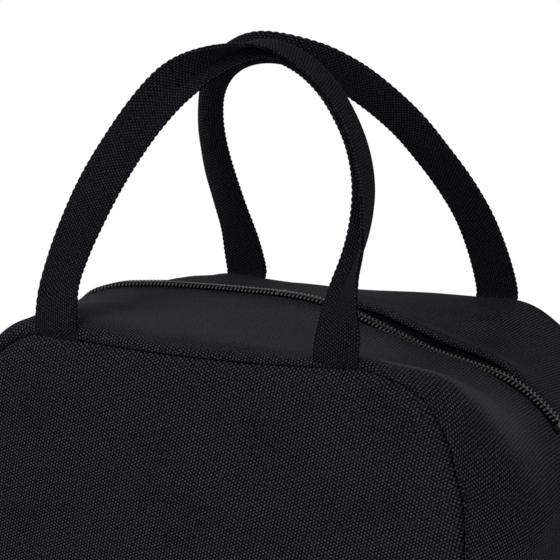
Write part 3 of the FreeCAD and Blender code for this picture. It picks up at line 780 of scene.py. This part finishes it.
def zip_tape(wall, face, hand, side):
    """Woven tape that carries one row of teeth, sewn up under the strip's fold where that stands off."""
    u = half_places(side, 121)
    middle, out = zip_line(u)
    rows = np.concatenate([[1.0, 1.5, 3.0, 4.2], np.linspace(5.2, TAPE_HALF, 6)])
    height = np.where(rows < 4.5, 0.1, -0.55 - 1.3 * smooth((rows - 5.2) / (TAPE_HALF - 5.2)))
    sewn = strip_surface(u, face)[0][:, np.argmin(np.abs(strip_rows()[0] - TAPE_SEAM))]
    under = ((sewn[:, [0, 2]] - middle) * out).sum(1) - CANVAS_THICK
    lift = smooth(edge_lift(middle[:, 0], face)[1]) * (under - height[-1])
    height = height + lift[:, None] * np.clip((rows - TAPE_FLAT) / (TAPE_HALF - TAPE_FLAT), 0, 1)
    points = raised(middle, out, face * rows[None, :], height)
    uvs = pairs((u * ZIP_LENGTH / 2)[:, None], rows[None, :])
    piece = cloth(f"{wall}_{hand}_zip_tape", points, uvs, (0.0, 0.0, 1.0), TAPE_THICK)
    nodes = [f"{wall}_zip_tape_{hand}"] + ([f"{wall}_zip_tape_top"] if side < 0 else [])
    swing(finish_piece(piece, FINE_TAPE, nodes))


def tooth_shape():
    """One turn of the coil in its own axes: along the zip, towards the middle, up."""
    line = [(-0.30, -2.55, 0.10), (-0.32, -3.05, 0.75), (-0.26, -2.85, 1.45), (-0.1, -2.1, 1.85),
            (0.12, -1.0, 1.95), (0.24, -0.1, 1.75), (0.28, 0.25, 1.2), (0.26, -0.2, 0.7)]
    reach = [0.34, 0.42, 0.46, 0.48, 0.48, 0.52, 0.5, 0.36]
    return tube_points(line, np.array(reach), 7).reshape(-1, 3), tube_faces(len(line), 7)


def coil_stretch(side):
    """Where the teeth of one half lie: u from the middle to the stop at that end."""
    last = 1 - 2 * (TEETH_END if side > 0 else TEETH_START) / ZIP_LENGTH
    return side * np.arange(0.25, last * ZIP_LENGTH / 2 / TOOTH_PITCH) * TOOTH_PITCH * 2 / ZIP_LENGTH


def zip_coil(wall, face, hand, side):
    """One row of teeth; front and rear rows are half a pitch apart, so that they mesh."""
    shift = TOOTH_PITCH / 2 if face > 0 else 0.0
    u = coil_stretch(side) + shift * 2 / ZIP_LENGTH
    middle, out = zip_line(u)
    zero = np.zeros(len(u))
    places = np.stack([middle[:, 0], zero, middle[:, 1]], -1)
    up = np.stack([out[:, 0], zero, out[:, 1]], -1)
    inward = np.tile((0.0, -float(face), 0.0), (len(u), 1))
    forward = np.stack([out[:, 1], zero, -out[:, 0]], -1)
    template, faces = tooth_shape()
    piece = copies(f"{wall}_{hand}_zip_teeth", template, faces, places, np.stack([forward, inward, up], 1))
    nodes = [f"{wall}_zip_coil_{hand}"] + ([f"{wall}_zip_coil_top"] if side < 0 else [])
    swing(finish_piece(piece, COIL, nodes))
    line = places + up * THREAD_HEIGHT - inward * THREAD_BACK
    name = f"{wall}_{hand}_zip_thread"
    thread = stitches(name, line, up, TOOTH_PITCH - THREAD_GAP, THREAD_GAP, THREAD_RADIUS)
    swing(finish_piece(thread, THREAD))


# Side bands, base and seam binding


def side_curves(count, side):
    """A side band's seam and middle line, from the zip's end to the base, and the length along it."""
    share = np.concatenate([[0.0, TINY], np.linspace(0, 1, count)[1:]])
    straight = CORNER_FOOT - BASE_ROUND
    run = share * (straight + BASE_ROUND * math.pi / 2)
    turn = np.clip((run - straight) / BASE_ROUND, 0, math.pi / 2)
    x = HALF_WIDTH - BASE_ROUND * (1 - np.cos(turn))
    z = np.where(run < straight, CORNER_FOOT - run, BASE_ROUND * (1 - np.sin(turn)))
    out = np.stack([np.cos(turn), -np.sin(turn)], -1)
    seam = np.stack([x, z], -1) + out * corner_push(side * x, z, -1)[:, None]
    places = ZIP_END + share * (1 - ZIP_END) if side > 0 else ZIP_START * (1 - share)
    middle, middle_out = gusset_line(places)
    mirror = np.array((side, 1.0))
    return (seam, out), (middle * mirror, middle_out * mirror), run + ZIP_LENGTH / 2


def side_rows():
    """Rows right across a side band: distance from the middle plane and rise."""
    near, rise = seam_rows(ROLL_ROWS)
    half = np.concatenate([near, np.linspace(near[-1], 0, 26)[1:]])
    rise = np.concatenate([rise, np.ones(25)])
    return np.concatenate([half, -half[-2::-1]]), np.concatenate([rise, rise[-2::-1]])


def side_band(hand, side):
    seam, middle, run = side_curves(111, side)
    rows, rise = side_rows()
    lip = SIDE_LIP * smooth((seam[0][:, 1] - 2) / 40)
    points, out = gusset_shape(seam, middle, lip, SIDE_POWER, rows, rise)
    wear_and_light = np.zeros(points.shape[:2])
    if side > 0:
        past, distance = (run - ZIP_LENGTH / 2)[:, None], np.where(rows < 0, SEAM_Y + rows, SEAM_Y)[None, :]
        points = shifted(points, out, corner_fold(past, distance))
        # The slack fold is lightened here: partly wear, partly painted light on its upper band and a painted
        # highlight on its crease
        wear_and_light = fold_wear_and_highlight(past, distance)
    points[:, :, 2] = np.maximum(points[:, :, 2], np.where(rise < TUCKED_RISE, CANVAS_THICK, 0.0))
    points[:, :, 0] *= side
    uvs = pairs(side * run[:, None], run_across(points))
    piece = cloth(hand + "_side_cloth", points, uvs, (side, 0, 0), CANVAS_THICK, wear_and_light)
    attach(finish_piece(piece, CANVAS, [hand + "_side_band", hand + "_side_foam"]), "bag")


def side_lining(hand, side):
    seam, middle, run = side_curves(71, side)
    rows = np.linspace(SEAM_Y - WALL, -(SEAM_Y - WALL), 41)
    points, out = gusset_shape(seam, middle, np.zeros(len(run)), SIDE_POWER, rows, np.ones(len(rows)))
    slack = ripple(points[:, :, 0], points[:, :, 1], points[:, :, 2], 33.0) * 0.8
    points = shifted(points, np.broadcast_to(seam[1][:, None, :], out.shape), -WALL - slack)
    points[:, :, 0] *= side
    uvs = pairs(run[:, None], rows[None, :])
    piece = cloth(hand + "_side_film", points, uvs, (-side, 0, 0), FILM_THICK)
    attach(finish_piece(piece, FOIL, [hand + "_side_lining"]), "bag")


def base_cloths():
    half = HALF_WIDTH - BASE_ROUND
    x, y = np.meshgrid(np.linspace(-half, half, 61), np.linspace(-SEAM_Y, SEAM_Y, 51), indexing="ij")
    sag = BASE_SAG * smooth(np.minimum(half - np.abs(x), SEAM_Y - np.abs(y)) / 20)
    points = np.stack([x, y, BASE_SAG - sag], -1)
    piece = cloth("base_cloth", points, np.stack([x, y], -1), (0, 0, -1), CANVAS_THICK)
    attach(finish_piece(piece, CANVAS, ["base_panel", "base_board", "base_foam"]), "bag")
    slack = 0.7 * ripple(x, y, 0 * x, 41.0)
    film = np.stack([x, y * (1 - WALL / SEAM_Y), BASE_FILM + slack], -1)
    inner = cloth("base_film", film, np.stack([x, y], -1), (0, 0, 1), FILM_THICK)
    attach(finish_piece(inner, FOIL, ["base_lining"]), "bag")


def outline_loop(inset, count):
    """The panel's closed outline, set inward: places and outward directions."""
    top = TOP_ROUND - inset
    low = BASE_ROUND - inset
    foot = HALF_WIDTH - BASE_ROUND
    corners = [((FLAT_TOP, CORNER_FOOT), top, 0), ((-FLAT_TOP, CORNER_FOOT), top, 90),
               ((-foot, BASE_ROUND), low, 180), ((foot, BASE_ROUND), low, 270)]
    places, out = [], []
    for (x, z), reach, start in corners:
        for angle in np.radians(np.linspace(start, start + 90, 15)):
            direction = (math.cos(angle), math.sin(angle))
            places.append((x + reach * direction[0], z + reach * direction[1]))
            out.append(direction)
    places, out = np.array(places + places[:1]), np.array(out + out[:1])
    along = lengths(places)
    even = np.linspace(0, along[-1], count + 1)[:-1]
    pick = [np.interp(even, along, column) for column in (*places.T, *out.T)]
    return np.stack(pick[:2], -1), np.stack(pick[2:], -1), even


def seam_binding(wall, face):
    """Tape folded over the raw edges of a seam inside the bag."""
    places, out, along = outline_loop(8.2, 260)
    profile = [(0.9, 0.0), (1.1, 4.0), (0.8, 7.6), (0.0, 8.7), (-0.8, 7.6), (-1.1, 4.0), (-0.9, 0.0)]
    thick, depth = np.array(profile).T
    waves = 0.25 * np.sin(along / 5.3) + 0.2 * np.sin(along / 2.9)
    height = thick + waves[:, None] * depth / 9
    rings = raised(places, out, face * (SEAM_Y - WALL - 0.8 - depth), height)
    rings = np.concatenate([rings, rings[:1]])
    reach = np.concatenate([along, [along[-1] + along[1]]])
    uvs = pairs(reach[:, None], np.arange(len(profile))[None, :] * 3.0)
    piece = cloth(wall + "_binding_tape", rings, uvs, (0, 0, 1), FILM_THICK)
    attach(finish_piece(piece, BINDING, [wall + "_seam_binding"]), "bag")


# Handles

# Each row is (across, reach up the leaning handle, tilt of the webbing, angle it is folded or curled by),
# on the inner edge of the arch from the right foot over the top to the left foot
FRONT_HANDLE = [
    (50.4, -1.5, 0, 2), (49.8, 8, 0, 3), (49.4, 19, -4, 18), (50.3, 31, -6, 38), (51.6, 43, 4, 66),
    (51.4, 55, 16, 98), (48.6, 70, 34, 138), (43.0, 83.5, 38, 150), (35.0, 95.5, 32, 150),
    (25.0, 106.5, 24, 150), (12.5, 115.0, 15, 148), (0.0, 118.8, 10, 138), (-12.0, 115.0, 6, 112),
    (-23.0, 107.2, 6, 76), (-31.0, 98.8, 2, 40), (-37.8, 88.2, -4, 16), (-43.6, 75.5, -8, 4),
    (-48.2, 62.0, -10, 0), (-51.7, 48.0, -6, 0), (-54.3, 34.0, 0, 0), (-55.0, 22.0, 4, 0),
    (-51.6, 8.0, 0, 0), (-49.8, -1.5, 0, 0),
]
REAR_HANDLE = [
    (50.0, -1.5, 0, 0), (50.0, 12, 0, 0), (49.8, 24, -2, 0), (47.6, 43, -4, 0), (43.5, 56, -4, 0),
    (37.5, 69, -4, 0), (29.5, 82.5, -2, 0), (21.5, 91.5, 0, 0), (13.0, 99.0, 2, 10), (2.0, 107.5, -3, 35),
    (-10.0, 113.0, -8, 85), (-20.0, 114.2, -2, 140), (-29.5, 111.8, 8, 185), (-37.5, 106.0, 20, 200),
    (-43.5, 97.5, 28, 195), (-47.3, 86.5, 26, 170), (-49.2, 76.0, 20, 135), (-50.0, 66.0, 16, 108),
    (-50.2, 55.0, 12, 82), (-50.0, 40.0, 10, 54), (-49.2, 22.0, 3, 26), (-49.6, 8.0, -7, 6),
    (-50.0, -1.5, -9, 0),
]
HANDLE_LEAN = math.radians(29)
STRAP_WIDTH = 18.0
STRAP_THICK = 1.8
STRAP_CREASE = 6.2
CREASE_ROUND = 1.2
SELVAGE_PITCH = 2.4


def folded(width, angle):
    """A point across a strap with a crease along it: distance from its inner edge, and to the front."""
    past = np.clip(width - STRAP_CREASE, 0, None)
    angle = np.maximum(angle, TINY)
    bent = np.minimum(past / CREASE_ROUND, angle)
    rest = past - bent * CREASE_ROUND
    out = np.minimum(width, STRAP_CREASE) + CREASE_ROUND * np.sin(bent) + rest * np.cos(bent)
    front = CREASE_ROUND * (1 - np.cos(bent)) + rest * np.sin(bent)
    cup = 0.5 * np.sin(math.pi * np.clip(width / STRAP_WIDTH, 0, 1)) * (1 - np.minimum(angle, 1.0))
    return out, front + cup


def curled(width, angle):
    """A point across a strap that curls evenly, with its hollow side to the back."""
    angle = np.maximum(angle, TINY)
    reach = STRAP_WIDTH / angle
    bend = angle * (0.5 - width / STRAP_WIDTH)
    return reach * (np.sin(angle / 2) - np.sin(bend)), reach * (np.cos(bend) - np.cos(angle / 2))


def strap_section(shape, width, tilt, angle):
    """A point across the tilted strap: outward in the arch's plane, and to the front of it."""
    out, front = shape(width, angle)
    return out * np.cos(tilt) + front * np.sin(tilt), -out * np.sin(tilt) + front * np.cos(tilt)


def strap_ring():
    """Round the strap's section: distance across and which side of the cloth, -1 to 1."""
    half, count = STRAP_THICK / 2, 27
    across = np.linspace(half, STRAP_WIDTH - half, count)
    edge = np.linspace(0, math.pi, 7)[1:-1]
    far = STRAP_WIDTH - half + half * np.sin(edge)
    near = half - half * np.sin(edge)
    width = np.concatenate([across, far, across[::-1], near])
    side = np.concatenate([np.ones(count), np.cos(edge), -np.ones(count), -np.cos(edge)])
    return width, side


def handle_body(reach):
    """Distance behind the wall's face and height of the strap, at a reach up from the seam."""
    tuck = 1.3 * (1 - np.tanh((reach - 1.0) / 2.0))
    above = np.clip(reach, 0, None)
    upright = np.exp(-above / 12)
    back = tuck - 0.7 * upright + math.sin(HANDLE_LEAN) * above * (1 - upright)
    return back, TOP + reach * math.cos(HANDLE_LEAN)


def handle(wall, face, rows, shape):
    """A webbing arch sewn into the seam at both feet, tilted or folded along, always towards the front."""
    places = np.linspace(0, 1, 1001)
    line = spline(rows, places)
    tilt, angle = np.radians(line[:, 2]), np.radians(line[:, 3])
    forward = unit(np.gradient(line[:, :2], axis=0))
    outward = np.stack([forward[:, 1], -forward[:, 0]], -1)
    along = lengths(line[:, :2])
    width, side = strap_ring()
    bump = 0.4 * np.abs(np.sin(math.pi * along / SELVAGE_PITCH + 0.6 * np.sin(along / 7.0)))[:, None]
    edge = np.clip(1 - np.minimum(width, STRAP_WIDTH - width) / 1.5, 0, 1)
    spread = width[None, :] + bump * (edge * np.where(width > STRAP_WIDTH / 2, 1.0, -1.0))[None, :]
    step = 0.05
    out, front = strap_section(shape, spread, tilt[:, None], angle[:, None])
    out_b, front_b = strap_section(shape, spread + step, tilt[:, None], angle[:, None])
    slope = unit(np.stack([out_b - out, front_b - front], -1))
    half = STRAP_THICK / 2 * side[None, :]
    out, front = out - slope[..., 1] * half, front + slope[..., 0] * half
    x = line[:, None, 0] + outward[:, None, 0] * out
    reach = line[:, None, 1] + outward[:, None, 1] * out
    back, height = handle_body(reach)
    sway = 0.5 * np.sin(along / 17.0)[:, None] * smooth(reach / 30)
    front = -face * front
    y = face * (SEAM_Y - back + sway + front * math.cos(HANDLE_LEAN))
    z = height + front * math.sin(HANDLE_LEAN)
    points = np.stack([x, y, z], -1)
    count = len(width)
    faces = grid_faces(len(line), count, True)
    faces += [tuple(range(count)), tuple(range((len(line) - 1) * count, len(line) * count))[::-1]]
    uvs = pairs(width[None, :], along[:, None])
    piece = new_object(wall + "_webbing_handle", points.reshape(-1, 3), faces, uvs.reshape(-1, 2))
    face_outward(piece)
    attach(finish_piece(piece, WEBBING, [wall + "_handle"]), wall + "_handle")


def build_bag():
    for wall, face, rows, shape in (("front", -1, FRONT_HANDLE, folded), ("rear", 1, REAR_HANDLE, curled)):
        wall_cloth(wall, face)
        turned_edge(wall, face)
        wall_lining(wall, face)
        seam_binding(wall, face)
        for hand, side in (("left", -1), ("right", 1)):
            zip_strip(wall, face, hand, side)
            strip_edge(wall, face, hand, side)
            strip_lining(wall, face, hand, side)
            zip_tape(wall, face, hand, side)
            zip_coil(wall, face, hand, side)
        handle(wall, face, rows, shape)
    for hand, side in (("left", -1), ("right", 1)):
        side_band(hand, side)
        side_lining(hand, side)
    base_cloths()


# Slider, pull tab and stops, drawn along the zip, across it and up from the zip's axis

JOINTS = {joint["name"]: joint for joint in frame["record"]["behaviour"]["joints"]}
ZIP_AXIS = JOINTS["zip_slide"]["pos_m"][2] / MM
ZIP_RADIUS = 190.0
SLIDER_REST = math.radians(35)
TAB_REST = math.radians(38)
PLATE_LOW = ZIP_RADIUS + 2.1
PLATE_HIGH = PLATE_LOW + 1.2
SOLE_HIGH = ZIP_RADIUS - 3.1
PIN_HEIGHT = PLATE_HIGH + 1.4


def turned(points, turn, origin=(0.0, 0.0)):
    """Points drawn along, across and up, turned back about the depth axis and moved to a place."""
    points = np.asarray(points, float)
    x = points[..., 0] * math.cos(turn) - points[..., 2] * math.sin(turn)
    z = points[..., 0] * math.sin(turn) + points[..., 2] * math.cos(turn)
    return np.stack([x + origin[0], points[..., 1], z + origin[1]], -1)


def squared(wave, power):
    """A wave drawn out towards a square one."""
    return np.sign(wave) * np.abs(wave) ** power


def rounded_outline(start, end, widths, count, square=0.5):
    """A closed outline from start to end along, whose half width runs between two widths."""
    turn = np.arange(count) * 2 * math.pi / count
    bend = squared(np.cos(turn), square)
    along = (start + end) / 2 + (end - start) / 2 * bend
    half = widths[0] + (widths[1] - widths[0]) * (bend + 1) / 2
    return np.stack([along, half * squared(np.sin(turn), square)], -1)


def inset(outline, amount):
    """An outline drawn in towards its middle by about an amount."""
    middle = outline.mean(axis=0)
    reach = np.abs(outline - middle).max(axis=0)
    return middle + (outline - middle) * (1 - amount / reach)


def stack(outline, levels):
    """A closed solid from one outline, drawn in by an amount at each (amount, height) level."""
    count = len(outline)
    rings = [np.column_stack([inset(outline, amount), np.full(count, height)]) for amount, height in levels]
    return np.concatenate(rings), tube_faces(len(rings), count)


def ring_plate(outline, hole, thick):
    """A flat plate with rounded edges and a hole."""
    count = len(outline)
    edge = thick / 2
    soft = 0.3
    levels = [(soft, -edge), (0, soft - edge), (0, edge - soft), (soft, edge)]
    loops = [(outline, amount, height) for amount, height in levels]
    loops += [(hole, -amount, height) for amount, height in levels[::-1]]
    rings = [np.column_stack([inset(line, amount), np.full(count, height)]) for line, amount, height in loops]
    rings.append(rings[0])
    points = np.concatenate(rings[:-1])
    faces = [tuple(index % len(points) for index in face) for face in grid_faces(len(rings), count, True)]
    return points, faces


def bar(path, wide, thick, sides=12):
    """A flat bar with rounded edges along a path drawn along and up."""
    path = np.asarray(path, float)
    forward = unit(np.gradient(path, axis=0))
    out = np.stack([-forward[:, 1], forward[:, 0]], -1)
    turn = np.arange(sides) * 2 * math.pi / sides
    across = wide / 2 * squared(np.cos(turn), 0.5)
    up = thick / 2 * squared(np.sin(turn), 0.5)
    return raised(path, out, across, up).reshape(-1, 3), tube_faces(len(path), sides)


def joined(name, shapes):
    """One piece from several (points, faces) shapes, with every face turned outward."""
    points, faces, start = [], [], 0
    for shape_points, shape_faces in shapes:
        points.append(shape_points)
        faces += [tuple(index + start for index in face) for face in shape_faces]
        start += len(shape_points)
    piece = new_object(name, np.concatenate(points), faces)
    face_outward(piece)
    edge = piece.modifiers.new("soft_edge", "BEVEL")
    edge.width = 0.12 * MM
    edge.segments = 2
    return piece


def face_outward(piece):
    mesh = bmesh.new()
    mesh.from_mesh(piece.data)
    bmesh.ops.recalc_face_normals(mesh, faces=mesh.faces)
    mesh.to_mesh(piece.data)
    mesh.free()


def zip_slider():
    """Two plates joined by a post at the wide end, with turned-down sides and an arch for the tab."""
    outline = rounded_outline(-5.5, 5.5, (4.6, 3.7), 48)
    top = stack(outline, [(0.3, PLATE_LOW), (0.0, PLATE_LOW + 0.3), (0.0, PLATE_HIGH - 0.4),
                          (0.35, PLATE_HIGH - 0.05), (1.6, PLATE_HIGH + 0.15)])
    sole = stack(outline, [(0.5, SOLE_HIGH - 1.2), (0.0, SOLE_HIGH - 0.8),
                           (0.0, SOLE_HIGH - 0.2), (0.2, SOLE_HIGH)])
    wedge = rounded_outline(-5.3, -1.9, (1.1, 0.4), 24)
    post = stack(wedge, [(0.0, SOLE_HIGH - 0.3), (0.0, PLATE_LOW + 0.3)])
    shapes = [top, sole, post]
    for face in (-1, 1):
        side = rounded_outline(-4.9, 4.9, (0.42, 0.42), 24, 0.35)
        lean = face * (4.15 - 0.075 * (side[:, :1] + 5))
        levels = [(0.1, ZIP_RADIUS + 0.5), (0.0, ZIP_RADIUS + 0.8), (0.0, PLATE_LOW + 0.4)]
        points, faces = stack(side, levels)
        points[:, 1] += np.tile(lean[:, 0], len(levels))
        shapes.append((points, faces))
    turn = np.linspace(math.pi, 0, 15)
    arch = [(-2.5, PLATE_HIGH - 0.3)] + [(1.95 * math.cos(t), PIN_HEIGHT + 1.95 * math.sin(t)) for t in turn]
    shapes.append(bar(arch + [(2.5, PLATE_HIGH - 0.3)], 2.0, 0.9))
    shapes = [(turned(points, SLIDER_REST, (0, ZIP_AXIS)), faces) for points, faces in shapes]
    piece = joined("zip_slider_shell", shapes)
    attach(finish_piece(piece, ENAMEL, ["zip_slider_body"]), "zip_slider")


def pull_tab():
    """A slim tab with a slot, and a frame at its head whose end bar is the pin."""
    slot = rounded_outline(-19.4, -11.5, (1.7, 1.4), 56)
    blade = ring_plate(rounded_outline(-22.0, -2.5, (3.5, 2.7), 56), slot, 1.6)
    window = rounded_outline(-2.6, -0.65, (2.0, 2.0), 40)
    head = ring_plate(rounded_outline(-4.0, 0.75, (3.2, 3.2), 40), window, 1.5)
    ridge = bar([(-10.2, 0.75), (-9.6, 0.95), (-5.4, 0.95), (-4.8, 0.75)], 2.2, 0.5)
    place = (-PIN_HEIGHT * math.sin(SLIDER_REST), ZIP_AXIS + PIN_HEIGHT * math.cos(SLIDER_REST))
    shapes = [(turned(points, TAB_REST, place), faces) for points, faces in (blade, head, ridge)]
    piece = joined("zip_puller", shapes)
    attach(finish_piece(piece, ENAMEL, ["zip_pull_tab"]), "pull_tab")


def zip_stop(name, node, u, sides):
    """Small clamps pressed over the ends of the teeth."""
    place, out = zip_line(np.array([u]))
    turn = math.atan2(-out[0, 0], out[0, 1])
    shapes = []
    for middle, half in sides:
        outline = rounded_outline(-1.1, 1.1, (half, half), 28, 0.4)
        points, faces = stack(outline, [(0.1, -0.2), (0.0, 0.3), (0.0, 2.0), (0.25, 2.35), (0.7, 2.5)])
        points[:, 1] += middle
        shapes.append((turned(points, turn, place[0]), faces))
    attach(finish_piece(joined(name, shapes), ENAMEL, [node]), "bag")


def zip_fittings():
    zip_slider()
    pull_tab()
    end = 1 - 2 * STOP_INSET / ZIP_LENGTH
    zip_stop("zip_top_clamps", "zip_top_stops", -end, [(-2.4, 1.1), (2.4, 1.1)])
    zip_stop("zip_bottom_clamp", "zip_bottom_stop", end, [(0.0, 3.5)])


# Studio

FLOOR_HEIGHT = -0.3


def studio():
    scene = bpy.context.scene
    scene.view_settings.view_transform = "Standard"
    world = bpy.data.worlds.new("studio")
    scene.world = world
    world.use_nodes = True
    tree = world.node_tree
    light = add(tree, "Background", Color=(1.0, 1.0, 1.0, 1.0), Strength=0.24)
    white = add(tree, "Background", Color=(1.0, 1.0, 1.0, 1.0), Strength=1.0)
    path = add(tree, "LightPath")
    seen = calc(tree, "MAXIMUM", path.outputs["Is Camera Ray"], path.outputs["Is Glossy Ray"])
    seen = calc(tree, "MAXIMUM", seen, path.outputs["Is Transmission Ray"])
    mix = add(tree, "MixShader", Fac=seen, i1=light.outputs[0], i2=white.outputs[0])
    tree.links.new(mix.outputs[0], tree.nodes["World Output"].inputs["Surface"])
    floor()
    lamp("key_light", (-0.45, -1.05, 1.15), 0.9, 16.8)
    lamp("fill_light", (1.2, -0.9, 0.5), 0.8, 9.5)
    lamp("back_light", (0.2, 1.1, 0.8), 0.9, 0.3)


def lamp(name, place, size, power):
    """A soft square light that faces the bag."""
    data = bpy.data.lights.new(name, "AREA")
    data.size = size
    data.energy = power
    item = bpy.data.objects.new(name, data)
    item.location = place
    item.rotation_euler = (Vector((0, 0, 0.15)) - Vector(place)).to_track_quat("-Z", "Y").to_euler()
    bpy.context.scene.collection.objects.link(item)


def floor():
    """A pale round floor that fades into the white background."""
    rings, spokes = 24, 64
    reach = np.linspace(0, 900, rings)
    angles = np.arange(spokes) * 2 * math.pi / spokes
    x, y = reach[:, None] * np.cos(angles), reach[:, None] * np.sin(angles)
    points = np.stack([x, y, np.full(x.shape, FLOOR_HEIGHT)], -1)
    piece = new_object("floor", points.reshape(-1, 3), grid_faces(rings, spokes, True))
    material, tree, shader = start_material("floor", 0.9)
    shader.inputs["Base Color"].default_value = (0.86, 0.86, 0.86, 1.0)
    place = add(tree, "NewGeometry").outputs["Position"]
    far = add(tree, "VectorMath", "LENGTH", i0=place)
    fade = add(tree, "MapRange", Value=far.outputs["Value"], i1=0.3, i2=0.85)
    clear = add(tree, "BsdfTransparent")
    mix = add(tree, "MixShader", Fac=fade.outputs[0], i1=shader.outputs[0], i2=clear.outputs[0])
    tree.links.new(mix.outputs[0], tree.nodes["Material Output"].inputs["Surface"])
    piece.data.materials.append(material)


# The photo's camera: direction, distance and picture scale found from the handles' feet and the seam
CAMERA_AZIMUTH = math.radians(28.0)
CAMERA_HEIGHT = math.radians(10.08)
CAMERA_DISTANCE = 900.0
CAMERA_TARGET = (-3.1, 0.0, 204.91)
FOCAL_PIXELS = 2265.3
PICTURE_PIXELS = 560


def camera():
    data = bpy.data.cameras.new("camera")
    data.sensor_width = 36.0
    data.lens = FOCAL_PIXELS / PICTURE_PIXELS * data.sensor_width
    item = bpy.data.objects.new("camera", data)
    level = math.cos(CAMERA_HEIGHT)
    across, depth = math.sin(CAMERA_AZIMUTH) * level, -math.cos(CAMERA_AZIMUTH) * level
    away = Vector((across, depth, math.sin(CAMERA_HEIGHT)))
    item.location = (Vector(CAMERA_TARGET) + away * CAMERA_DISTANCE) * MM
    item.rotation_euler = away.to_track_quat("Z", "Y").to_euler()
    bpy.context.scene.collection.objects.link(item)
    bpy.context.scene.camera = item


build_bag()
zip_fittings()
studio()
camera()
